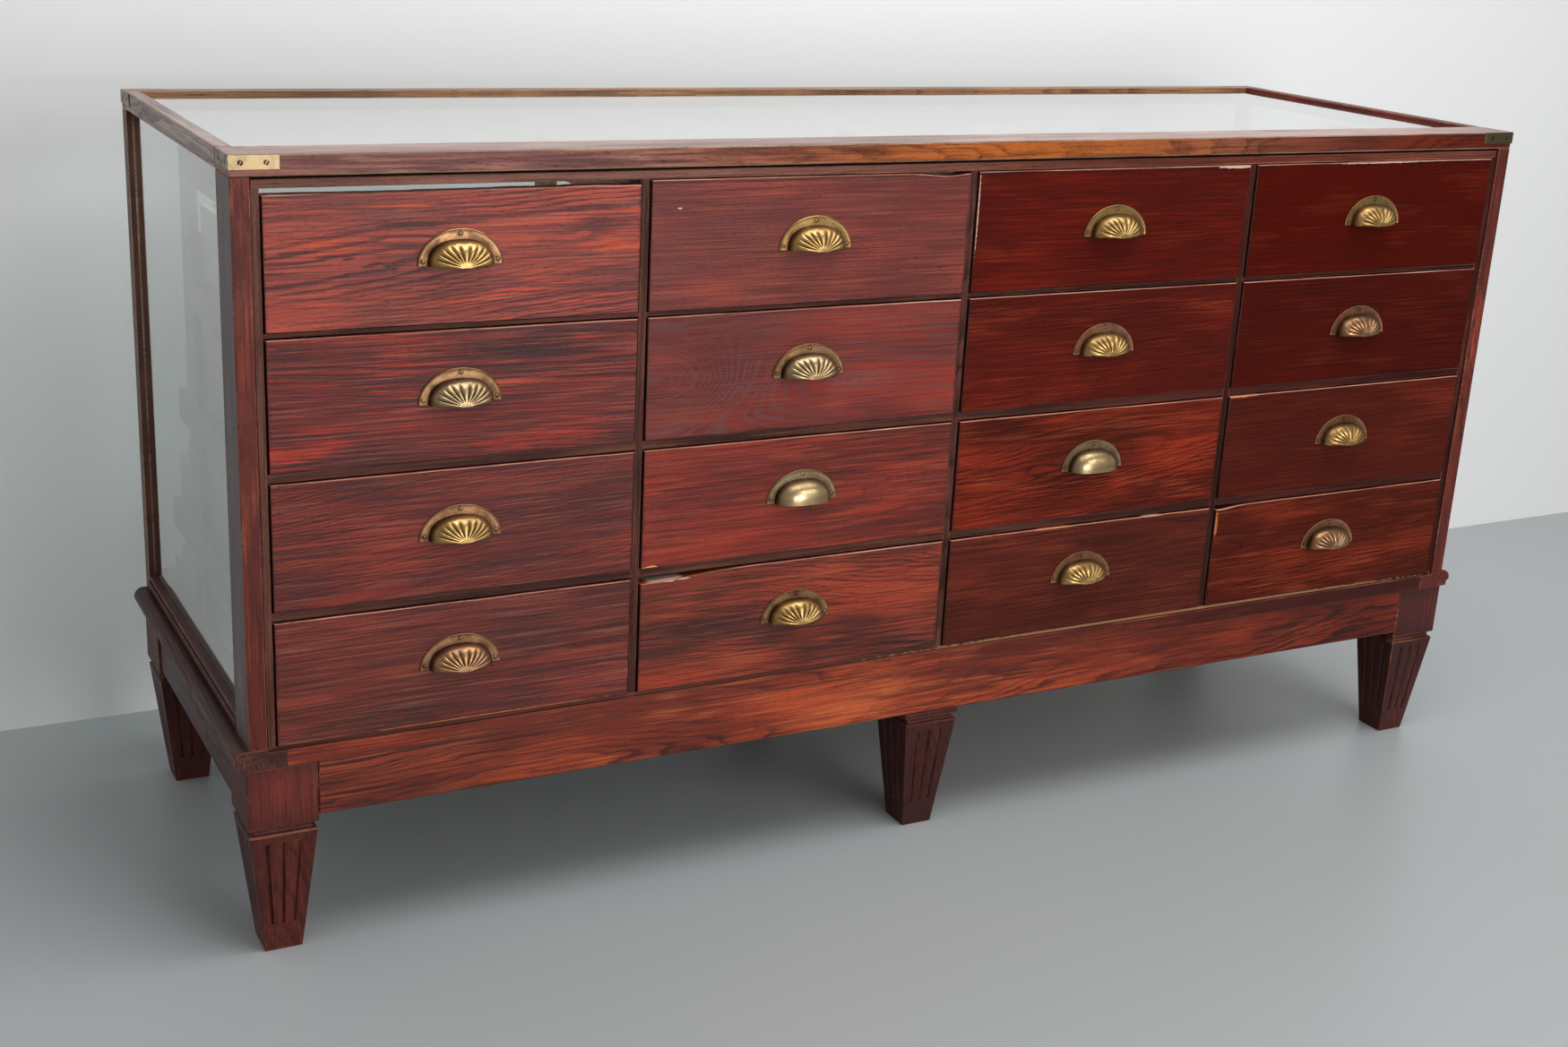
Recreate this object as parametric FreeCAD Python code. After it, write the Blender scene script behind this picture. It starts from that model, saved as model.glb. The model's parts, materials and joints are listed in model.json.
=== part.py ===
import FreeCAD, Part
import math
import os

# Glazed haberdashery cabinet on six fluted legs, with a nest of sixteen long drawers.
# Millimetres. +Z is up, the drawers face -Y, and the origin is on the floor under the middle
# of the whole cabinet, pulls and brackets included.

V = FreeCAD.Vector

# ---------------------------------------------------------------- driving dimensions

case_width = 1900.0          # over the posts
case_depth = 605.0           # front face to back face
total_height = 975.0         # floor to the top of the rails

# legs
foot_size = 46.5             # square sole
leg_top_size = 83.0          # square, widest part of the taper
leg_taper_top = 165.0        # height where the taper ends
shoulder_rise = 2.0          # nearly flat shoulder above it
neck_inset = 5.0             # neck behind the taper's widest part
neck_height = 7.0
block_side_lap = 1.5         # block past the taper's widest part, each side
block_front_lap = 0.5        # the same at its front and back
block_height = 79.0
block_outset = 4.0           # block stands out past the post's side
block_setback = 2.0          # block stands behind the case's front
flutes_per_face = 3
flute_width = 7.0
flute_depth = 2.6
flute_end_margin = 12.0      # plain wood above each flute
flute_foot_margin = 38.0     # plain wood below each flute
flute_foot_share = 0.5       # flutes narrow towards the foot

# aprons
apron_thickness = 20.0
apron_height = 70.0
end_apron_inset = 3.0        # end apron's face behind the block's side

# base rails, from the legs up to the posts
base_rail_height = 26.0
base_rail_width = 44.0
moulding_reach = 18.0        # how far the end moulding stands out
moulding_ovolo_drop = 12.0
moulding_flat = 4.0
moulding_cove = 5.0
moulding_top_quirk = 3.0

# posts
post_width = 22.0
front_post_depth = 65.0
back_post_depth = 22.0

# top frame
top_rail_height = 24.0
side_top_rail_width = 20.0

# glass and its rebates
pane_thickness = 5.0
pane_setback = 9.0           # outer face of a pane behind the case's outer face
pane_clearance = 0.5
rebate_depth = 8.0
top_glass_thickness = 6.0
top_ledge_height = 12.5

# sills under the panes
sill_height = 21.0
sill_groove_depth = 3.0
sill_bead_outset = 1.0
sill_lower_groove = 5.5
sill_bead_height = 9.0
sill_upper_groove = 4.5
outer_bead_height = 5.0
outer_bead_edge = 2.0        # what the bevel leaves of its outer side

# nest of drawers
column_count = 4
row_count = 4
nest_side_gap = 1.4          # between the nest and a front post
nest_head_gap = 3.2          # between the nest's top rail and the case's
front_thickness = 18.0
side_gap = 1.4               # each side of a drawer front
foot_gap = 0.3               # between a drawer and what it runs on
head_gap = 1.2               # above a drawer front
top_row_extra_gap = 3.8      # the top row has dropped further
divider_thickness = 10.0
end_upright_thickness = 9.0
upright_depth = 40.0
face_rail_depth = 30.0
face_rail_heights = (10.5, 10.5, 5.0)    # bottom to top
nest_top_rail_height = 10.0
bottom_board_thickness = 5.0
bottom_board_lap = 4.0       # board let into the end base rails
nest_recess = 3.0            # nest behind the posts' face

# partition frames and runners
partition_rail_height = 40.0
stile_stop_short = 2.0       # stiles end this much before the top drawers' inner ends
stile_width = 55.0
runner_width = 14.0
runner_stop_short = 6.0      # runners end this much before the drawer's inner end

# drawer boxes: the low trough at a drawer's inner end reaches out from under the drawer above
bottom_drawer_clearance = 30.0           # between a bottom drawer's inner end and the back sill
drawer_step = 65.3           # each row is this much shorter than the one below it
box_side_gap = 2.9           # box side to partition
box_side_thickness = 10.0
box_height = 96.0
trough_height = 60.0
trough_length = 58.0
box_end_thickness = 10.0
drawer_bottom_thickness = 5.0
drawer_bottom_lift = 8.0     # bottom panel above the lower edge of the sides
panel_groove_depth = 4.0

# pulls
flange_width = 102.0
flange_height = 46.0
flange_thickness = 2.0
dome_width = 77.0
dome_height = 33.0
dome_reach = 22.0            # dome beyond the flange
dome_wall = 2.4
dome_tip_share = 0.07        # small flat where the dome reaches furthest
shell_rib_count = 11
shell_groove_share = 0.05    # groove depth as a share of the radius
shell_start = 0.86           # the fluting starts at this share of the dome's outline
shell_levels = (0.70, 0.50, 0.28)
plain_levels = (0.86, 0.70, 0.50, 0.28)
hollow_levels = (1.0, 0.86, 0.50)
hollow_corner_count = 13
plain_bead = 2.5
pull_lifts = (70.5, 67.0, 64.5, 64.5)    # lip above the drawer's lower edge, bottom row to top
plain_pulls = ((3, 2), (3, 3))           # row from the top, column from the left

# corner brackets
bracket_leg = 55.0
bracket_height = 16.5
bracket_thickness = 1.5

flatness = 0.0001            # corners this close to one plane share a face

# ---------------------------------------------------------------- derived places

half_width = case_width / 2.0
pull_reach = flange_thickness + dome_reach
front_y = -(case_depth + bracket_thickness - pull_reach) / 2.0
back_y = front_y + case_depth

neck_size = leg_top_size - 2.0 * neck_inset
neck_bottom = leg_taper_top + shoulder_rise
block_bottom = neck_bottom + neck_height
block_width = leg_top_size + 2.0 * block_side_lap
block_depth = leg_top_size + 2.0 * block_front_lap
base_bottom = block_bottom + block_height
base_top = base_bottom + base_rail_height
apron_bottom = base_bottom - apron_height
board_bottom = base_top - bottom_board_lap
nest_floor = board_bottom + bottom_board_thickness
sill_top = base_top + sill_height
rail_bottom = total_height - top_rail_height
ledge_top = rail_bottom + top_ledge_height
inner_step = pane_setback + pane_thickness       # from the outer face to a pane's inner face

# the nest fills the case's front, and its rows and columns share it evenly
front_line = front_y + nest_recess
nest_width = case_width - 2.0 * (post_width + nest_side_gap + end_upright_thickness)
column_pitch = (nest_width + divider_thickness) / column_count
opening_width = column_pitch - divider_thickness
front_width = opening_width - 2.0 * side_gap
box_outer_width = opening_width - 2.0 * box_side_gap

nest_ceiling = rail_bottom - nest_head_gap - nest_top_rail_height
rows_height = nest_ceiling - nest_floor - sum(face_rail_heights) - top_row_extra_gap
opening_height = rows_height / row_count
front_height = opening_height - foot_gap - head_gap
bottom_drawer_length = case_depth - back_post_depth - bottom_drawer_clearance


def column_left(column):
    """Left edge of a column's opening, columns counted from 0 at the left."""
    return -nest_width / 2.0 + column * column_pitch


def row_floor(level):
    """Height that a row's drawers run on, levels counted from 0 at the bottom."""
    rails_below = sum(face_rail_heights[:level])
    return nest_floor + level * opening_height + rails_below


def drawer_length(level):
    """From a drawer's front face to its inner end."""
    return bottom_drawer_length - level * drawer_step


# ---------------------------------------------------------------- small helpers


def box(x0, x1, y0, y1, z0, z1):
    """A board between the given faces."""
    return Part.makeBox(x1 - x0, y1 - y0, z1 - z0, V(x0, y0, z0))


def board_along_x(x0, x1, profile):
    """Extrude a (y, z) outline along X."""
    points = [V(x0, y, z) for y, z in profile]
    face = Part.Face(Part.makePolygon(points + points[:1]))
    return face.extrude(V(x1 - x0, 0, 0))


def board_along_y(y0, y1, profile):
    """Extrude an (x, z) outline along Y."""
    points = [V(x, y0, z) for x, z in profile]
    face = Part.Face(Part.makePolygon(points + points[:1]))
    return face.extrude(V(0, y1 - y0, 0))


def post(z0, z1, profile):
    """Extrude an (x, y) outline upwards."""
    points = [V(x, y, z0) for x, y in profile]
    face = Part.Face(Part.makePolygon(points + points[:1]))
    return face.extrude(V(0, 0, z1 - z0))


def flat_face(corners):
    """Flat face through corners that lie in one plane."""
    return Part.Face(Part.makePolygon(corners + corners[:1]))


def flat_sides(a, b, c, d):
    """One flat face through four corners, or two triangles where they don't lie in one plane."""
    twist = (b - a).cross(c - a).normalize().dot(d - a)
    if abs(twist) < flatness:
        return [flat_face([a, b, c, d])]
    return [flat_face([a, b, c]), flat_face([a, c, d])]


def loft(sections):
    """Flat-faced solid through polygons that have the same number of corners."""
    faces = [flat_face(sections[0]), flat_face(sections[-1])]
    for lower, upper in zip(sections, sections[1:]):
        for place, corner in enumerate(lower):
            after = (place + 1) % len(lower)
            faces += flat_sides(corner, lower[after], upper[after], upper[place])
    solid = Part.Solid(Part.Shell(faces))
    if solid.Volume < 0:
        solid.reverse()
    return solid


def mirrored(shape):
    """The same piece on the other end of the cabinet."""
    return shape.mirror(V(0, 0, 0), V(1, 0, 0))


def back_mirrored(shape):
    """The same piece on the back of the case."""
    return shape.mirror(V(0, (front_y + back_y) / 2.0, 0), V(0, 1, 0))


def save(name, solids):
    """Write one node, a single solid or a group of separate ones."""
    shape = solids[0] if len(solids) == 1 else Part.makeCompound(solids)
    shape.exportStep("parts/" + name + ".step")


# ---------------------------------------------------------------- legs and aprons


def square_section(size, z):
    """Corners of a square around the leg's middle, at a height."""
    h = size / 2.0
    return [V(-h, -h, z), V(h, -h, z), V(h, h, z), V(-h, h, z)]


def leg_half_size(z):
    """Half the width of the tapered foot at a height."""
    share = z / leg_taper_top
    return (foot_size + (leg_top_size - foot_size) * share) / 2.0


def flute_section(share, width, z):
    """V-shaped section of a flute on the front face of a leg that stands at the origin."""
    half = leg_half_size(z)
    x = share * 2.0 * half
    # the mouth stays in front of the face, so that the cut runs right through it
    mouth = flute_depth
    spread = width / 2.0 * (flute_depth + mouth) / flute_depth
    return [V(x - spread, -half - mouth, z), V(x + spread, -half - mouth, z), V(x, -half + flute_depth, z)]


def leg_flutes():
    """All the flutes of one leg: the same few on each of its four faces."""
    lowest = flute_foot_margin
    highest = leg_taper_top - flute_end_margin
    cutters = []
    for number in range(flutes_per_face):
        share = (number + 1.0) / (flutes_per_face + 1.0) - 0.5
        lower = flute_section(share, flute_width * flute_foot_share, lowest)
        upper = flute_section(share, flute_width, highest)
        flute = loft([lower, upper])
        for quarter in range(4):
            turned = flute.copy()
            turned.rotate(V(0, 0, 0), V(0, 0, 1), 90.0 * quarter)
            cutters.append(turned)
    return cutters


def tapered_foot():
    """The fluted foot with its shoulder and neck, standing at the origin."""
    sole = square_section(foot_size, 0.0)
    widest = square_section(leg_top_size, leg_taper_top)
    neck_low = square_section(neck_size, neck_bottom)
    neck_high = square_section(neck_size, block_bottom)
    whole = loft([sole, widest]).fuse([loft([widest, neck_low]), loft([neck_low, neck_high])])
    return whole.cut(leg_flutes())


def corner_leg():
    """Front left leg."""
    x0 = -half_width - block_outset
    y0 = front_y + block_setback
    foot = tapered_foot()
    foot.translate(V(x0 + block_width / 2.0, y0 + block_depth / 2.0, 0))
    block = box(x0, x0 + block_width, y0, y0 + block_depth, block_bottom, base_bottom)
    return foot.fuse(block).removeSplitter()


def middle_leg():
    """Front middle leg: its block is cut back so that the apron runs across its face."""
    y0 = front_y + block_setback
    foot = tapered_foot()
    foot.translate(V(0, y0 + block_depth / 2.0, 0))
    block = box(-block_width / 2.0, block_width / 2.0, y0, y0 + block_depth, block_bottom, base_bottom)
    lap = box(-block_width, block_width, y0 - apron_thickness, y0 + apron_thickness, apron_bottom, base_top)
    return foot.fuse(block).removeSplitter().cut(lap)


def front_apron():
    """Long apron between the corner blocks, in front of the middle one."""
    reach = half_width + block_outset - block_width
    y0 = front_y + block_setback
    return box(-reach, reach, y0, y0 + apron_thickness, apron_bottom, base_bottom)


def left_apron():
    """Short apron between the blocks of one end."""
    x0 = -half_width - block_outset + end_apron_inset
    y0 = front_y + block_setback + block_depth
    y1 = back_y - block_setback - block_depth
    return box(x0, x0 + apron_thickness, y0, y1, apron_bottom, base_bottom)


# ---------------------------------------------------------------- base rails and sills


def moulded_outline():
    """Section of the end base rail: quirk, ovolo, flat and cove on its outer side."""
    outer = -half_width
    top = V(outer, front_y, base_top)
    quirk = V(outer - moulding_top_quirk, front_y, base_top)
    ovolo_foot = V(outer - moulding_reach, front_y, base_top - moulding_ovolo_drop)
    turn = math.sqrt(0.5)
    ovolo_run = moulding_reach - moulding_top_quirk
    ovolo_mid = V(quirk.x - ovolo_run * turn, front_y, base_top - moulding_ovolo_drop * (1.0 - turn))
    flat_foot = V(ovolo_foot.x, front_y, ovolo_foot.z - moulding_flat)
    cove_foot = V(flat_foot.x + moulding_cove, front_y, flat_foot.z - moulding_cove)
    cove_mid = V(flat_foot.x + moulding_cove * turn, front_y, flat_foot.z - moulding_cove * (1.0 - turn))
    inner = outer + base_rail_width
    step = outer + post_width
    corners = [cove_foot, V(cove_foot.x, front_y, base_bottom), V(inner, front_y, base_bottom),
               V(inner, front_y, board_bottom), V(step, front_y, board_bottom),
               V(step, front_y, base_top), top, quirk]
    edges = [Part.makeLine(a, b) for a, b in zip(corners, corners[1:])]
    edges.append(Part.Arc(quirk, ovolo_mid, ovolo_foot).toShape())
    edges.append(Part.makeLine(ovolo_foot, flat_foot))
    edges.append(Part.Arc(flat_foot, cove_mid, cove_foot).toShape())
    return Part.Wire(Part.__sortEdges__(edges))


def left_base_rail():
    """Moulded rail that carries one end of the case."""
    return Part.Face(moulded_outline()).extrude(V(0, case_depth, 0))


def base_rail_between():
    """Front base rail, between the end rails."""
    reach = half_width - base_rail_width
    return box(-reach, reach, front_y, front_y + front_post_depth, base_bottom, board_bottom)


def side_sill():
    """Sill under the left pane, with a bead between two grooves on its outer side."""
    outer = -half_width
    inner = outer + post_width
    groove = outer + sill_groove_depth
    proud = outer - sill_bead_outset
    z1 = base_top + sill_lower_groove
    z2 = z1 + sill_bead_height
    z3 = z2 + sill_upper_groove
    profile = [(inner, base_top), (inner, sill_top), (outer, sill_top), (outer, z3), (groove, z3),
               (groove, z2), (proud, z2), (proud, z1), (groove, z1), (groove, base_top)]
    return board_along_y(front_y + front_post_depth, back_y - back_post_depth, profile)


def side_outer_bead():
    """Bevelled bead on the sill, outside the left pane."""
    outer = -half_width + pane_clearance
    pane = -half_width + pane_setback
    profile = [(outer, sill_top), (pane, sill_top), (pane, sill_top + outer_bead_height),
               (outer, sill_top + outer_bead_edge)]
    return board_along_y(front_y + front_post_depth, back_y - back_post_depth, profile)


def side_inner_bead(z0):
    """Square bead inside the left pane, along a sill or under a top rail."""
    x0 = -half_width + inner_step
    x1 = -half_width + post_width
    return box(x0, x1, front_y + front_post_depth, back_y - back_post_depth, z0, z0 + rebate_depth)


def back_bead(z0):
    """Square bead inside the back pane."""
    reach = half_width - post_width
    y1 = back_y - inner_step
    return box(-reach, reach, back_y - back_post_depth, y1, z0, z0 + rebate_depth)


def back_plinth():
    """Back base rail, sill and apron, one above the other."""
    rail = back_mirrored(base_rail_between())
    reach = half_width - post_width
    sill = box(-reach, reach, back_y - back_post_depth, back_y, board_bottom, sill_top)
    apron = back_mirrored(front_apron())
    return [rail, sill, back_bead(sill_top), apron]


# ---------------------------------------------------------------- posts, top frame and glass


def front_left_post():
    """Wide flat post with a rebate for the pane at its inner back corner."""
    x0 = -half_width
    x1 = x0 + post_width
    y1 = front_y + front_post_depth
    step = y1 - rebate_depth
    lip_x = x0 + pane_setback
    profile = [(x0, front_y), (x1, front_y), (x1, step), (lip_x, step), (lip_x, y1), (x0, y1)]
    return post(base_top, rail_bottom, profile)


def front_post_bead():
    """Upright bead that fills the rest of the front post's rebate."""
    x0 = -half_width + inner_step
    x1 = -half_width + post_width
    y1 = front_y + front_post_depth
    return box(x0, x1, y1 - rebate_depth, y1, base_top, rail_bottom)


def back_left_post():
    """Slim corner post with a rebate for each of the two panes that meet at it."""
    x0 = -half_width
    x1 = x0 + post_width
    y0 = back_y - back_post_depth
    lip_x = x0 + pane_setback
    lip_y = back_y - pane_setback
    core_x = x0 + inner_step
    core_y = back_y - inner_step
    profile = [(x0, back_y), (x0, y0), (lip_x, y0), (lip_x, core_y), (core_x, core_y), (core_x, lip_y),
               (x1, lip_y), (x1, back_y)]
    return post(base_top, rail_bottom, profile)


def back_post_bead():
    """Upright bead in the corner where the two panes meet."""
    x0 = -half_width + inner_step
    y1 = back_y - inner_step
    return box(x0, -half_width + post_width, back_y - back_post_depth, y1, sill_top, rail_bottom)


def front_top_rail():
    """Wide front rail with a ledge for the top glass."""
    y1 = front_y + front_post_depth
    profile = [(front_y, rail_bottom), (y1 + rebate_depth, rail_bottom), (y1 + rebate_depth, ledge_top),
               (y1, ledge_top), (y1, total_height), (front_y, total_height)]
    rail = board_along_x(-half_width, half_width, profile)
    # the ledge stops where the side rails run in
    side = half_width - side_top_rail_width
    for x0, x1 in ((-half_width, -side), (side, half_width)):
        rail = rail.cut(box(x0, x1, y1, y1 + rebate_depth, rail_bottom, ledge_top))
    return rail


def back_top_rail():
    """Slim back rail with a ledge for the top glass."""
    y0 = back_y - back_post_depth
    profile = [(back_y, rail_bottom), (back_y, total_height), (y0, total_height), (y0, ledge_top),
               (y0 - rebate_depth, ledge_top), (y0 - rebate_depth, rail_bottom)]
    rail = board_along_x(-half_width, half_width, profile)
    side = half_width - side_top_rail_width
    for x0, x1 in ((-half_width, -side), (side, half_width)):
        rail = rail.cut(box(x0, x1, y0 - rebate_depth, y0, rail_bottom, ledge_top))
    return rail


def left_top_rail():
    """End rail between the front and back rails, with its ledge between their ledges."""
    x0 = -half_width
    x1 = x0 + side_top_rail_width
    y0 = front_y + front_post_depth
    y1 = back_y - back_post_depth
    rail = box(x0, x1, y0, y1, rail_bottom, total_height)
    ledge = box(x1, x1 + rebate_depth, y0 + rebate_depth, y1 - rebate_depth, rail_bottom, ledge_top)
    return rail.fuse(ledge).removeSplitter()


def top_glass():
    """Pane that lies on the ledges of the top frame."""
    reach = half_width - side_top_rail_width - pane_clearance
    y0 = front_y + front_post_depth + pane_clearance
    y1 = back_y - back_post_depth - pane_clearance
    return box(-reach, reach, y0, y1, ledge_top, ledge_top + top_glass_thickness)


def left_glass():
    """Pane in the rebates of the left posts."""
    x0 = -half_width + pane_setback
    y0 = front_y + front_post_depth - rebate_depth + pane_clearance
    y1 = back_y - inner_step - pane_clearance
    return box(x0, x0 + pane_thickness, y0, y1, sill_top, rail_bottom - pane_clearance)


def back_glass():
    """Pane in the rebates of the back posts."""
    reach = half_width - inner_step - pane_clearance
    y1 = back_y - pane_setback
    return box(-reach, reach, y1 - pane_thickness, y1, sill_top, rail_bottom - pane_clearance)


def left_brackets():
    """Thin angle plates let over the two left corners of the top frame."""
    t = bracket_thickness
    x = -half_width
    y = front_y
    z0 = total_height - bracket_height
    profile = [(x - t, y - t), (x + bracket_leg, y - t), (x + bracket_leg, y), (x, y), (x, y + bracket_leg),
               (x - t, y + bracket_leg)]
    front = post(z0, total_height, profile)
    return [front, back_mirrored(front)]


# ---------------------------------------------------------------- nest of drawers


def partition_faces(place):
    """Left and right face of an end strip or a divider, counted from 0 at the left."""
    x1 = column_left(place)
    x0 = x1 - divider_thickness
    if place == 0:
        x0 = x1 - end_upright_thickness
    if place == column_count:
        x1 = x0 + end_upright_thickness
    return x0, x1


def uprights():
    """End strips and dividers of the nest's face."""
    y1 = front_line + upright_depth
    pieces = []
    for place in range(column_count + 1):
        x0, x1 = partition_faces(place)
        pieces.append(box(x0, x1, front_line, y1, nest_floor, nest_ceiling))
    return pieces


def face_rails():
    """Thin rails between the rows, one in each column."""
    y1 = front_line + face_rail_depth
    pieces = []
    for column in range(column_count):
        x0 = column_left(column)
        for level, height in enumerate(face_rail_heights, start=1):
            z1 = row_floor(level)
            pieces.append(box(x0, x0 + opening_width, front_line, y1, z1 - height, z1))
    return pieces


def nest_frame():
    """The face of the nest with its top rail and the board that it stands on."""
    reach = nest_width / 2.0 + end_upright_thickness
    rail_y1 = front_line + upright_depth
    rail_z1 = nest_ceiling + nest_top_rail_height
    top = box(-reach, reach, front_line, rail_y1, nest_ceiling, rail_z1)
    side = half_width - post_width
    board = box(-side, side, front_line, back_y - back_post_depth, board_bottom, nest_floor)
    return uprights() + face_rails() + [top, board]


def runner_end(level):
    """Where the runners of a row end, a little before the drawers' inner ends."""
    return front_y + drawer_length(level) - runner_stop_short


def partition(x0, x1):
    """Rear stile, head rail and web rails of one partition."""
    y0 = front_line + upright_depth
    stile_y1 = front_y + drawer_length(row_count - 1) - stile_stop_short
    stile_y0 = stile_y1 - stile_width
    head = nest_ceiling - partition_rail_height
    pieces = [box(x0, x1, stile_y0, stile_y1, nest_floor, nest_ceiling),
              box(x0, x1, y0, stile_y0, head, nest_ceiling)]
    for level in range(row_count):
        z1 = row_floor(level) if level else nest_floor + partition_rail_height
        z0 = z1 - partition_rail_height
        pieces.append(box(x0, x1, y0, stile_y0, z0, z1))
        if runner_end(level) > stile_y1:
            pieces.append(box(x0, x1, stile_y1, runner_end(level), z0, z1))
    return pieces


def running_strips(x0, x1):
    """Strips glued to one face of a partition, one for each row above the bottom one."""
    y0 = front_line + face_rail_depth
    pieces = []
    for level, height in enumerate(face_rail_heights, start=1):
        z1 = row_floor(level)
        pieces.append(box(x0, x1, y0, runner_end(level), z1 - height, z1))
    return pieces


def drawer_runners():
    """Partition frames behind the uprights, with the strips that the drawers run on."""
    pieces = []
    for place in range(column_count + 1):
        x0, x1 = partition_faces(place)
        pieces += partition(x0, x1)
        if place > 0:
            pieces += running_strips(x0 - runner_width, x0)
        if place < column_count:
            pieces += running_strips(x1, x1 + runner_width)
    return pieces


def drawer(level, column):
    """Drawer box: front, two stepped sides, a panel in grooves, and an end for each height."""
    z0 = row_floor(level) + foot_gap
    z1 = z0 + box_height
    step_z = z0 + trough_height
    front_x0 = column_left(column) + side_gap
    front_y1 = front_y + front_thickness
    x0 = column_left(column) + box_side_gap
    x1 = x0 + box_outer_width
    inner_x0 = x0 + box_side_thickness
    inner_x1 = x1 - box_side_thickness
    end_y = front_y + drawer_length(level)
    step_y = end_y - trough_length
    panel_z0 = z0 + drawer_bottom_lift
    panel_z1 = panel_z0 + drawer_bottom_thickness
    panel = box(inner_x0 - panel_groove_depth, inner_x1 + panel_groove_depth,
                front_y1 - panel_groove_depth, end_y, panel_z0, panel_z1)
    face = box(front_x0, front_x0 + front_width, front_y, front_y1, z0, z0 + front_height).cut(panel)
    pieces = [face, panel]
    for side_x0, side_x1 in ((x0, inner_x0), (inner_x1, x1)):
        side = board_along_x(side_x0, side_x1, [(front_y1, z0), (end_y, z0), (end_y, step_z),
                                                (step_y, step_z), (step_y, z1), (front_y1, z1)])
        pieces.append(side.cut(panel))
    pieces.append(box(inner_x0, inner_x1, end_y - box_end_thickness, end_y, panel_z1, step_z))
    pieces.append(box(inner_x0, inner_x1, step_y - box_end_thickness, step_y, step_z, z1))
    return pieces


# ---------------------------------------------------------------- shell pulls


def half_outline(width, height, corners, groove=0.0):
    """Corners of a half ellipse above its centre; every other corner is drawn in by the groove."""
    points = []
    for number in range(corners):
        angle = math.pi * number / (corners - 1.0)
        drawn_in = 1.0 - groove if number % 2 == 0 and 0 < number < corners - 1 else 1.0
        x = width / 2.0 * math.cos(angle) * drawn_in
        z = height * math.sin(angle) * drawn_in
        points.append((x, z))
    return points


def dome_depth(share):
    """How far the dome stands out where its section has shrunk to this share."""
    return math.sqrt(1.0 - share * share)


def dome_section(outline, share, reach, start):
    """One section of a dome, shrunk about the middle of its straight edge."""
    y = start - reach * dome_depth(share)
    return [V(x * share, y, z * share) for x, z in outline]


def dome(outline, shares, reach, start):
    """Dome through sections that all shrink towards the middle of the lip, closed by a small facet."""
    sections = [dome_section(outline, share, reach, start) for share in shares]
    tip = [V(x * dome_tip_share, start - reach, z * dome_tip_share) for x, z in outline]
    return loft(sections + [tip])


def plate(outline, y0, y1):
    """Flat plate with this outline between two upright planes."""
    return loft([[V(x, y, z) for x, z in outline] for y in (y0, y1)])


def cup_pull(plain):
    """Cast cup pull: a flange and a hollow quarter dome, its lip at the origin, back on y = 0."""
    corners = 2 * shell_rib_count + 1
    rim = half_outline(dome_width, dome_height, corners)
    face = -flange_thickness
    if plain:
        bead = half_outline(dome_width + 2.0 * plain_bead, dome_height + plain_bead, corners)
        shell = dome(rim, (1.0,) + plain_levels, dome_reach, face)
        shell = shell.fuse(plate(bead, face, face - plain_bead))
    else:
        ribs = half_outline(dome_width, dome_height, corners, shell_groove_share)
        skirt = [dome_section(rim, share, dome_reach, face) for share in (1.0, shell_start)]
        shell = loft(skirt).fuse(dome(ribs, (shell_start,) + shell_levels, dome_reach, face))
    flange = plate(half_outline(flange_width, flange_height, corners), 0, face)
    opening = half_outline(dome_width - 2.0 * dome_wall, dome_height - dome_wall, hollow_corner_count)
    hollow = dome(opening, hollow_levels, dome_reach - dome_wall, face)
    return flange.fuse(shell).removeSplitter().cut([hollow, plate(opening, 0, face)])


# ---------------------------------------------------------------- whole cabinet


def build():
    """Write every node."""
    os.makedirs("parts", exist_ok=True)

    save("front_top_rail", [front_top_rail()])
    save("back_top_rail", [back_top_rail(), back_bead(rail_bottom - rebate_depth)])
    left_rail = [left_top_rail(), side_inner_bead(rail_bottom - rebate_depth)]
    save("left_top_rail", left_rail)
    save("right_top_rail", [mirrored(piece) for piece in left_rail])

    front_post = [front_left_post(), front_post_bead()]
    back_post = [back_left_post(), back_post_bead()]
    save("front_left_post", front_post)
    save("front_right_post", [mirrored(piece) for piece in front_post])
    save("back_left_post", back_post)
    save("back_right_post", [mirrored(piece) for piece in back_post])

    save("top_glass", [top_glass()])
    save("left_glass", [left_glass()])
    save("right_glass", [mirrored(left_glass())])
    save("back_glass", [back_glass()])

    left_base = [left_base_rail(), side_sill(), side_outer_bead(), side_inner_bead(sill_top)]
    save("left_base_rail", left_base)
    save("right_base_rail", [mirrored(piece) for piece in left_base])
    save("front_base_rail", [base_rail_between()])
    save("back_plinth", back_plinth())

    save("front_apron", [front_apron()])
    save("left_apron", [left_apron()])
    save("right_apron", [mirrored(left_apron())])

    front_left = corner_leg()
    front_middle = middle_leg()
    save("front_left_leg", [front_left])
    save("front_middle_leg", [front_middle])
    save("front_right_leg", [mirrored(front_left)])
    save("back_left_leg", [back_mirrored(front_left)])
    save("back_middle_leg", [back_mirrored(front_middle)])
    save("back_right_leg", [mirrored(back_mirrored(front_left))])

    brackets = left_brackets()
    save("corner_brackets", brackets + [mirrored(piece) for piece in brackets])

    save("nest_frame", nest_frame())
    save("drawer_runners", drawer_runners())

    shell_pull = cup_pull(False)
    plain_pull = cup_pull(True)
    for row in range(1, row_count + 1):
        level = row_count - row
        for column in range(column_count):
            place = "_r%dc%d" % (row, column + 1)
            save("drawer" + place, drawer(level, column))
            pull = (plain_pull if (row, column + 1) in plain_pulls else shell_pull).copy()
            middle = column_left(column) + opening_width / 2.0
            pull.translate(V(middle, front_y, row_floor(level) + foot_gap + pull_lifts[level]))
            save("cup_pull" + place, [pull])


build()
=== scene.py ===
import bpy
import json
import math
import random
from mathutils import Matrix, Vector, noise


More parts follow.
